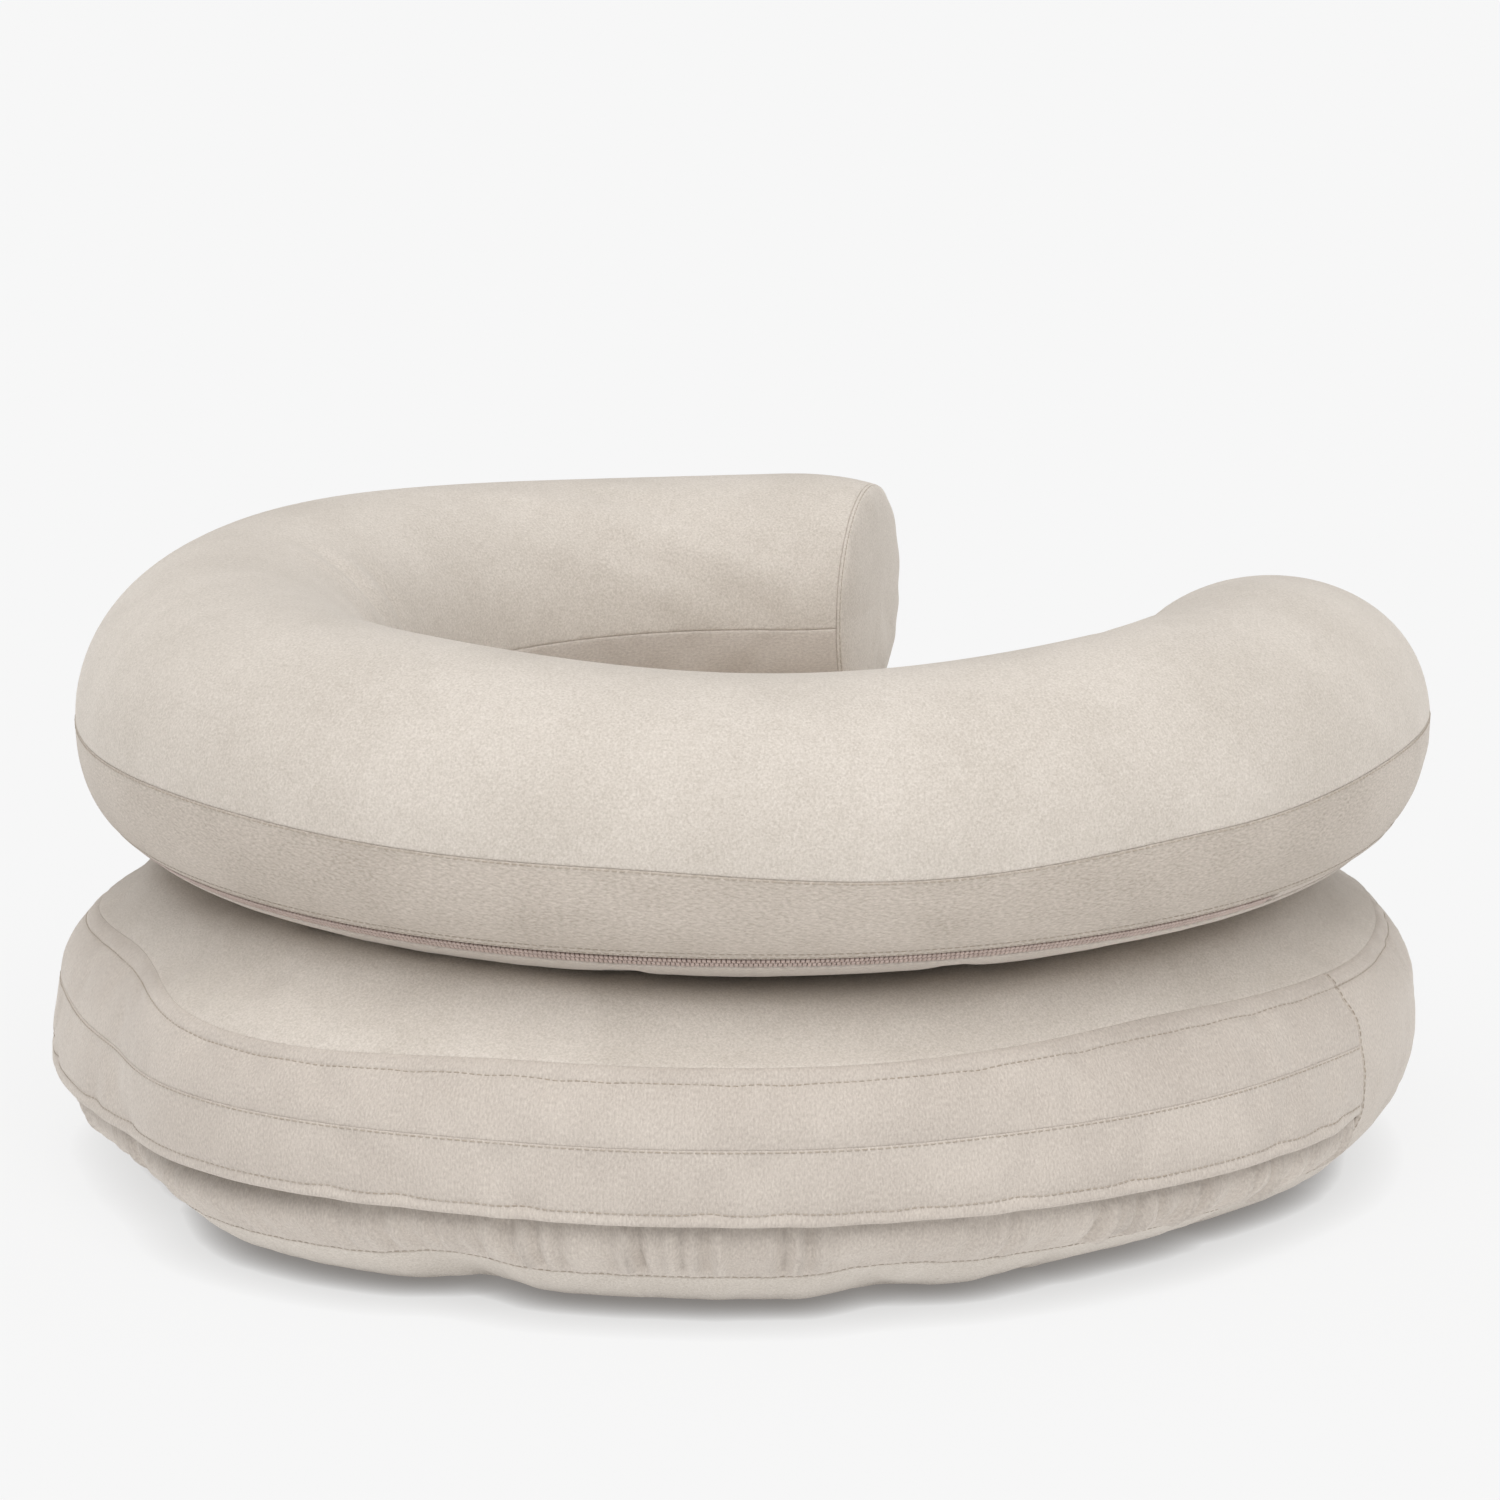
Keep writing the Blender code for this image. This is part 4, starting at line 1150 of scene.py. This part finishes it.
class CUSHION_OT_fillings(bpy.types.Operator):
    """Makes the two stuffed cotton cushions inside the covers"""
    bl_idname = "cushion.fillings"
    bl_label = "Inner cushions"

    def execute(self, context):
        for name, body, sleeve, nodes in (
            ("seat_inner_cushion", "seat", seat_sleeve(),
             ["seat_liner_top", "seat_liner_bottom", "seat_filling"]),
            ("bolster_inner_cushion", "bolster", bolster_sleeve(),
             ["bolster_liner_top", "bolster_liner_bottom", "bolster_filling"]),
        ):
            u, s = np.meshgrid(np.arange(sleeve.count), np.arange(sleeve.around), indexing="ij")
            lift = np.full(u.shape, -INNER_DEPTH)
            if body == "seat":
                lift = lift - recess(s) * np.exp(-((u - SEAT_FLAP_LINE) / PRESSED_RINGS) ** 2)
            obj = sleeve_object(name, sleeve.lifted(u, s, lift))
            place_piece(obj, body, cotton_material(), nodes)
        return {"FINISHED"}


# ---- Small pieces modelled as by hand ----

def deselect():
    if bpy.context.object and bpy.context.object.mode != "OBJECT":
        bpy.ops.object.mode_set(mode="OBJECT")
    bpy.ops.object.select_all(action="DESELECT")


def pick(obj, test):
    """In edit mode, selects the vertices that pass the test and nothing else."""
    mesh = bmesh.from_edit_mesh(obj.data)
    for element in (*mesh.faces, *mesh.edges, *mesh.verts):
        element.select = False
    for vertex in mesh.verts:
        vertex.select = bool(test(vertex.co))
    mesh.select_flush_mode()
    bmesh.update_edit_mesh(obj.data)


def stitch_shape():
    """One stitch along X: a short thread whose ends go down into the cloth."""
    deselect()
    thread = sizes().thread
    straight = sizes().stitch_length - thread
    bpy.ops.mesh.primitive_uv_sphere_add(segments=6, ring_count=5, radius=thread / 2,
                                         rotation=(0, math.pi / 2, 0))
    obj = bpy.context.object
    bpy.ops.object.transform_apply(location=False, rotation=True, scale=False)
    bpy.ops.object.mode_set(mode="EDIT")
    for side in (-1, 1):
        pick(obj, lambda co: co.x * side > thread * 0.05)
        bpy.ops.transform.translate(value=(side * straight / 2, 0, 0))
        pick(obj, lambda co: co.x * side > straight / 2 + thread * 0.2)
        bpy.ops.transform.translate(value=(side * thread * 0.3, 0, -thread * 0.55))
    bpy.ops.object.mode_set(mode="OBJECT")
    return taken_mesh(obj)


def tooth_shape():
    """One coil tooth: a bar along Y whose two ends bend down, so that each row of them is a round cord."""
    deselect()
    pitch, reach_out = sizes().coil_pitch, sizes().coil_width / 2
    bpy.ops.mesh.primitive_cube_add(size=1)
    obj = bpy.context.object
    bpy.ops.object.mode_set(mode="EDIT")
    bpy.ops.transform.resize(value=(pitch * 0.80, reach_out - 0.0004, 0.0013))
    bpy.ops.transform.translate(value=(0, reach_out / 2 + 0.0002, 0))
    bpy.ops.mesh.bevel(offset=0.00042, segments=2, affect="EDGES")
    pick(obj, lambda co: co.y < 0.0012)
    bpy.ops.transform.resize(value=(1.10, 1.0, 1.0), center_override=(0, 0.0006, 0))
    bpy.ops.transform.translate(value=(0, 0, -0.0005))
    pick(obj, lambda co: co.y > reach_out - 0.0006)
    bpy.ops.transform.translate(value=(0, 0, -0.0003))
    bpy.ops.object.mode_set(mode="OBJECT")
    return taken_mesh(obj)


def taken_mesh(obj):
    """The modelled shape's points and faces. Its object is removed."""
    points = np.array([v.co[:] for v in obj.data.vertices])
    faces = [list(p.vertices) for p in obj.data.polygons]
    bpy.data.objects.remove(obj)
    return points, faces


def copies(name, shape, places):
    """One object that holds a copy of the shape at each place: an origin and the directions of X, Y and Z."""
    points, faces = shape
    origins, axes = places
    moved = np.einsum("kc,ncd->nkd", points, axes) + origins[:, None]
    count = len(points)
    all_faces = [[i * count + corner for corner in face] for i in range(len(origins)) for face in faces]
    return new_object(name, moved.reshape(-1, 3), all_faces)


def places_along(points, normals, pitch, start=0.0):
    """Places a pitch apart along a line, with X along it and Z along its normal."""
    length = np.concatenate([[0], np.cumsum(np.linalg.norm(np.diff(points, axis=0), axis=-1))])
    count = int((length[-1] - start) / pitch)
    at = start + (np.arange(count) + 0.5) * pitch
    origins = np.stack([np.interp(at, length, points[:, i]) for i in range(3)], axis=-1)
    along = np.gradient(points, axis=0)
    x = np.stack([np.interp(at, length, along[:, i]) for i in range(3)], axis=-1)
    z = np.stack([np.interp(at, length, normals[:, i]) for i in range(3)], axis=-1)
    x = x / np.linalg.norm(x, axis=-1, keepdims=True)
    y = np.cross(z, x)
    y = y / np.linalg.norm(y, axis=-1, keepdims=True)
    return origins, np.stack([x, y, np.cross(x, y)], axis=1)


# Points on the line that stitches or teeth follow.
LINE_POINTS = 1500


def seam_line(sleeve, u, s, lift):
    """A fine line of points and normals on the sleeve. u or s may run from one value to another."""
    share = np.linspace(0, 1, LINE_POINTS)
    us = u[0] + (u[1] - u[0]) * share if isinstance(u, tuple) else np.full(LINE_POINTS, u)
    ss = s[0] + (s[1] - s[0]) * share if isinstance(s, tuple) else np.full(LINE_POINTS, s)
    lifts = lift(us, ss) if callable(lift) else np.full(LINE_POINTS, lift)
    return sleeve.lifted(us, ss, lifts), sleeve.normal(us, ss)


class CUSHION_OT_stitching(bpy.types.Operator):
    """Runs every row of stitches that shows"""
    bl_idname = "cushion.stitching"
    bl_label = "Stitching"

    def execute(self, context):
        seat, bolster = seat_sleeve(), bolster_sleeve()
        tier = (seat_point(TIER_START), seat_point(TIER_END))
        whole = (0, SEAT_AROUND)
        arc = (FIRST_BODY_RING + 0.3, LAST_BODY_RING - 0.3)
        section = (0, BOLSTER_AROUND)
        tall = (SEAT_TOP_LINE + 0.1, SEAT_LOWER_LINE - 0.1)
        beside = 0.0010
        rows = (
            ("seat_strip_stitches", "seat", seat, STRIP_STITCH, whole, upper_face),
            ("seat_middle_stitches", "seat", seat, SEAT_MIDDLE_LINE + beside / TIER_CELL, tier, flap_face),
            ("seat_flap_stitches", "seat", seat, FLAP_STITCH, tier, flap_face),
            ("seat_lower_stitches", "seat", seat, SEAT_LOWER_LINE - beside / LOWER_CELL, whole,
             front_band_face),
            ("seat_join_stitches_left", "seat", seat, tall, seat_point(TIER_END) + beside / SEAT_POINT,
             front_band_face),
            ("seat_join_stitches_right", "seat", seat, tall,
             seat_point(TIER_START + 360) - beside / SEAT_POINT, front_band_face),
            ("bolster_outer_stitches", "bolster", bolster, arc, BOLSTER_AROUND - beside / OUTER_CELL,
             bolster_outer_face),
            ("bolster_hem_stitches_near", "bolster", bolster, arc, HEM_STITCHES[0], bolster_outer_face),
            ("bolster_hem_stitches_far", "bolster", bolster, arc, HEM_STITCHES[1], bolster_outer_face),
            ("bolster_cap_stitches_right", "bolster", bolster, FIRST_BODY_RING - CAP_STITCH / DOME_CELL,
             section, cap_face),
            ("bolster_cap_stitches_left", "bolster", bolster, LAST_BODY_RING + CAP_STITCH / DOME_CELL,
             section, cap_face),
        )
        shape = stitch_shape()
        for name, body, sleeve, u, s, face in rows:
            points, normals = seam_line(sleeve, u, s, lambda us, ss: face(us, ss) + sizes().thread * 0.15)
            obj = copies(name, shape, places_along(points, normals, sizes().stitch_pitch))
            place_piece(obj, body, thread_material())
        return {"FINISHED"}


# ---- The zips ----

# How far the bolster's and the seat's tape and chain lie under the sleeve and the zip's face.
TAPE_SINK, CHAIN_SINK = 0.0016, 0.0001
SEAT_TAPE_SINK, SEAT_CHAIN_SINK = 0.0026, 0.0008
# Widths of the upper and lower tape, and how far the seat's lower tape leans in.
TAPE_WIDTHS, SEAT_TAPE_WIDTHS = (0.0085, 0.0075), (0.009, 0.008)
SEAT_TAPE_LEAN = 0.5
# The seat's tape runs this many degrees past each end of its chain.
SEAT_TAPE_PAST = 4.0
TAPE_THICKNESS = 0.0006
# Half the slit between the two tapes.
TAPE_SLIT = 0.0002


def seat_zip_line(start, end, sink=0.0):
    turn = np.radians(np.linspace(start, end, LINE_POINTS))
    span = SEAT_ZIP_RADIUS - sink
    normals = np.stack([np.cos(turn), np.sin(turn), 0 * turn], axis=-1)
    points = normals * span
    points[:, 2] = SEAT_ZIP_HEIGHT
    return points, normals


def bolster_zip_line(start, end, sink=0.0):
    return seam_line(bolster_sleeve(), (ring_at(start), ring_at(end)), ZIP_LINE, -sink)


def zip_rows(body, line, shape, nodes):
    """The two rows of teeth, half a pitch apart, that mesh along the line."""
    pitch = sizes().coil_pitch
    for side, start in (("outer", 0.0), ("inner", pitch / 2)):
        origins, axes = places_along(*line, pitch, start)
        if side == "inner":
            axes = axes * np.array([[[-1.0], [-1.0], [1.0]]])
        obj = copies(f"{body}_{side}_coil", shape, (origins, axes))
        place_piece(obj, body, nylon_material(), nodes if side == "outer" else ())


def zip_tape(body, line, widths, lean):
    """The woven tape behind the coil: a strip each side of a slit. lean is how far the lower one turns in."""
    points, normals = line
    every = slice(None, None, 10)
    points, normals = points[every], normals[every]
    along = np.gradient(points, axis=0)
    along = along / np.linalg.norm(along, axis=-1, keepdims=True)
    across = np.cross(normals, along)
    for side, sign, width, turned in (("upper", 1, widths[0], 0.0), ("lower", -1, widths[1], lean)):
        corners = []
        for reach_out, depth in (
                (TAPE_SLIT, 0), (width, 0), (width, -TAPE_THICKNESS), (TAPE_SLIT, -TAPE_THICKNESS)):
            corners.append(points + across * sign * reach_out + normals * (depth - turned * reach_out))
        ring = np.stack(corners, axis=1)[:, ::-sign]
        number = np.arange(ring.shape[0] * 4).reshape(-1, 4)
        faces = grid_faces(number, True) + [number[0].tolist(), number[-1][::-1].tolist()]
        obj = new_object(f"{body}_{side}_tape", ring.reshape(-1, 3), faces)
        obj.data.set_sharp_from_angle(angle=math.radians(40))
        place_piece(obj, body, tape_material(), [f"{body}_zip_tape_{side}"])


class CUSHION_OT_zips(bpy.types.Operator):
    """Makes the coils and tapes of both zips"""
    bl_idname = "cushion.zips"
    bl_label = "Zips"

    def execute(self, context):
        tooth = tooth_shape()
        seat_ends = (SEAT_ZIP_START, SEAT_ZIP_END)
        seat_tape_ends = (SEAT_ZIP_START - SEAT_TAPE_PAST, SEAT_ZIP_END + SEAT_TAPE_PAST)
        for body, chain, tape, widths, lean in (
            ("seat", seat_zip_line(*seat_ends, SEAT_CHAIN_SINK),
             seat_zip_line(*seat_tape_ends, SEAT_TAPE_SINK), SEAT_TAPE_WIDTHS, SEAT_TAPE_LEAN),
            ("bolster", bolster_zip_line(CHAIN_START, CHAIN_END, CHAIN_SINK),
             bolster_zip_line(TAPE_START, TAPE_END, TAPE_SINK), TAPE_WIDTHS, 0.0),
        ):
            zip_rows(body, chain, tooth, [f"{body}_zip_chain"])
            zip_tape(body, tape, widths, lean)
        for name, node in frame["nodes"].items():
            if "slider" in name or "puller" in name or "stop" in name:
                for slot in node.material_slots:
                    slot.material = nickel_material()
        return {"FINISHED"}


FACING_CELL = 0.0105
FACING_TUCK = 0.05
FACING_EDGES = (UNDER_HEM - FACING_TUCK, OUTER_HEM + FACING_TUCK)
# Degrees from the chain's end to the facing's edge.
FACING_GAP = 0.9


def facing_face(u, s):
    """The strip that closes the opening beyond each end of the zip."""
    edge = np.minimum(s - FACING_EDGES[0], FACING_EDGES[1] - s) * FACING_CELL
    return -0.0004 - roll(edge, 0.0012, 0.0006)


class CUSHION_OT_zip_facings(bpy.types.Operator):
    """Sews the fabric garages that cover both ends of the bolster's zip"""
    bl_idname = "cushion.zip_facings"
    bl_label = "Zip facings"

    def execute(self, context):
        sides = (
            ("right", FIRST_BODY_RING, ring_at(CHAIN_START - FACING_GAP)),
            ("left", ring_at(CHAIN_END + FACING_GAP), LAST_BODY_RING),
        )
        for side, start, end in sides:
            rows = lines_between(start, end, OUTER_RING, 0.004)
            across = lines_between(*FACING_EDGES, FACING_CELL, 0.0015)
            obj = panel(f"bolster_zip_garage_{side}", bolster_sleeve(), rows, across, facing_face)
            place_piece(obj, "bolster", shaded_band_material(), [f"bolster_zip_facing_{side}"])
        return {"FINISHED"}


# ---- The stage ----

CAMERA_AZIMUTH, CAMERA_ELEVATION, CAMERA_DISTANCE = -132.0, 14.0, 2.6
CAMERA_LENS = 129.2
CAMERA_TARGET = Vector((0, 0, 0.085))
AIM_UP, AIM_RIGHT = 0.104, 0.0077
FLOOR_SIZE = 60.0
# The share of the floor's tone that it gives off itself, as an evenly lit studio sweep. This glow is painted
# light: to every ray but the camera's it is FLOOR_BOUNCE times as bright, and lights the cushion from below.
FLOOR_GLOW = 0.88
FLOOR_BOUNCE = 1.35
# Painted shadow: the floor darkens within each distance of the object, down to this share.
FLOOR_SHADES = (0.030, 0.72), (0.012, 0.20)
BACKDROP = "F7F7F7"
SKY_LOW, SKY_HIGH = "4A4C50", "FFFFFF"
SUN_STRENGTH, SUN_ANGLE = 1.95, 60.0
# The soft light comes from this far to the right of the object, towards the camera and up.
SUN_TOWARD = (0.03, 0.72, 1.0)


class CUSHION_OT_stage(bpy.types.Operator):
    """Adds the floor, the soft light and the camera"""
    bl_idname = "cushion.stage"
    bl_label = "Stage"

    def execute(self, context):
        scene = context.scene
        turn, rise = math.radians(CAMERA_AZIMUTH), math.radians(CAMERA_ELEVATION)
        back = Vector((math.sin(turn) * math.cos(rise), -math.cos(turn) * math.cos(rise), math.sin(rise)))
        right = Vector((math.cos(turn), math.sin(turn), 0))
        up = back.cross(right)
        camera_data = bpy.data.cameras.new("camera")
        camera_data.lens = CAMERA_LENS
        camera_data.sensor_width = 36
        camera = bpy.data.objects.new("camera", camera_data)
        camera.location = CAMERA_TARGET + back * CAMERA_DISTANCE
        aim = CAMERA_TARGET + up * AIM_UP + right * AIM_RIGHT
        camera.rotation_euler = (aim - camera.location).to_track_quat("-Z", "Y").to_euler()
        scene.collection.objects.link(camera)
        scene.camera = camera

        deselect()
        bpy.ops.mesh.primitive_plane_add(size=FLOOR_SIZE)
        floor = context.object
        floor.name = "floor"
        material, tree = new_material("painted_floor")
        paint = add_node(tree, "ShaderNodeBsdfPrincipled", {
            "Base Color": linear(colours().floor), "Roughness": 1.0, "Specular IOR Level": 0.0})
        # Painted shadow: near the cushion, the floor's glow fades towards the floor shade colour.
        shade = None
        for distance, darkest in FLOOR_SHADES:
            nearness = add_node(tree, "ShaderNodeAmbientOcclusion", {"Distance": distance})
            share = add_node(tree, "ShaderNodeMapRange", {
                "Value": nearness.outputs["AO"], "To Min": darkest})
            so_far = shade.outputs["Value"] if shade else 1.0
            shade = add_node(tree, "ShaderNodeMath", {0: share.outputs["Result"], 1: so_far},
                             operation="MULTIPLY")
        lit = add_node(tree, "ShaderNodeMix", {
            "Factor": shade.outputs["Value"], 6: linear(colours().floor_shade), 7: linear(BACKDROP)},
            data_type="RGBA")
        # Painted light: the floor glows, and glows brighter to every ray but the camera's.
        seen = add_node(tree, "ShaderNodeLightPath")
        strength = add_node(tree, "ShaderNodeMapRange", {
            "Value": seen.outputs["Is Camera Ray"], "To Min": FLOOR_BOUNCE, "To Max": 1.0})
        glow = add_node(tree, "ShaderNodeEmission", {
            "Color": lit.outputs[2], "Strength": strength.outputs["Result"]})
        both = add_node(tree, "ShaderNodeMixShader", {
            "Fac": FLOOR_GLOW, 1: paint.outputs["BSDF"], 2: glow.outputs["Emission"]})
        add_node(tree, "ShaderNodeOutputMaterial", {"Surface": both.outputs["Shader"]})
        floor.data.materials.append(material)

        world = bpy.data.worlds.new("studio")
        world.use_nodes = True
        world.node_tree.nodes.clear()
        seen = add_node(world.node_tree, "ShaderNodeLightPath")
        direction = add_node(world.node_tree, "ShaderNodeTexCoord")
        height = add_node(world.node_tree, "ShaderNodeSeparateXYZ", {0: direction.outputs["Generated"]})
        sky = add_node(world.node_tree, "ShaderNodeMix", {
            "Factor": height.outputs["Z"], 6: linear(SKY_LOW), 7: linear(SKY_HIGH)}, data_type="RGBA")
        tone = add_node(world.node_tree, "ShaderNodeMix", {
            "Factor": seen.outputs["Is Camera Ray"], 6: sky.outputs[2], 7: linear(BACKDROP)},
            data_type="RGBA")
        background = add_node(world.node_tree, "ShaderNodeBackground", {"Color": tone.outputs[2]})
        add_node(world.node_tree, "ShaderNodeOutputWorld", {"Surface": background.outputs["Background"]})
        scene.world = world

        sun_data = bpy.data.lights.new("softbox", "SUN")
        sun_data.energy = SUN_STRENGTH
        sun_data.angle = math.radians(SUN_ANGLE)
        sun = bpy.data.objects.new("softbox", sun_data)
        sideways, nearer, higher = SUN_TOWARD
        toward = right * sideways + Vector((back.x, back.y, 0)) * nearer + Vector((0, 0, higher))
        sun.rotation_euler = toward.to_track_quat("Z", "Y").to_euler()
        scene.collection.objects.link(sun)
        scene.view_settings.view_transform = "Standard"
        return {"FINISHED"}


# ---- The add-on ----

OPERATORS = (
    CUSHION_OT_stage,
    CUSHION_OT_seat_cover,
    CUSHION_OT_seat_flap,
    CUSHION_OT_bolster_cover,
    CUSHION_OT_fillings,
    CUSHION_OT_zips,
    CUSHION_OT_zip_facings,
    CUSHION_OT_stitching,
)


class CUSHION_PT_pieces(bpy.types.Panel):
    """Lists the cushion's pieces and its settings"""
    bl_idname = "CUSHION_PT_pieces"
    bl_label = "Cushion"
    bl_space_type = "VIEW_3D"
    bl_region_type = "UI"
    bl_category = "Cushion"

    def draw(self, context):
        for settings in (context.scene.cushion_sizes, context.scene.cushion_colours):
            box = self.layout.box()
            for name in settings.bl_rna.properties.keys():
                if name not in ("rna_type", "name"):
                    box.prop(settings, name)
        for operator in OPERATORS:
            self.layout.operator(operator.bl_idname)


CLASSES = (CushionSizes, CushionColours, *OPERATORS, CUSHION_PT_pieces)


def register():
    for each in CLASSES:
        bpy.utils.register_class(each)
    bpy.types.Scene.cushion_sizes = bpy.props.PointerProperty(type=CushionSizes)
    bpy.types.Scene.cushion_colours = bpy.props.PointerProperty(type=CushionColours)


def unregister():
    del bpy.types.Scene.cushion_colours
    del bpy.types.Scene.cushion_sizes
    for each in reversed(CLASSES):
        bpy.utils.unregister_class(each)


def main():
    register()
    for operator in OPERATORS:
        group, name = operator.bl_idname.split(".")
        getattr(getattr(bpy.ops, group), name)()


if __name__ == "__main__":
    main()
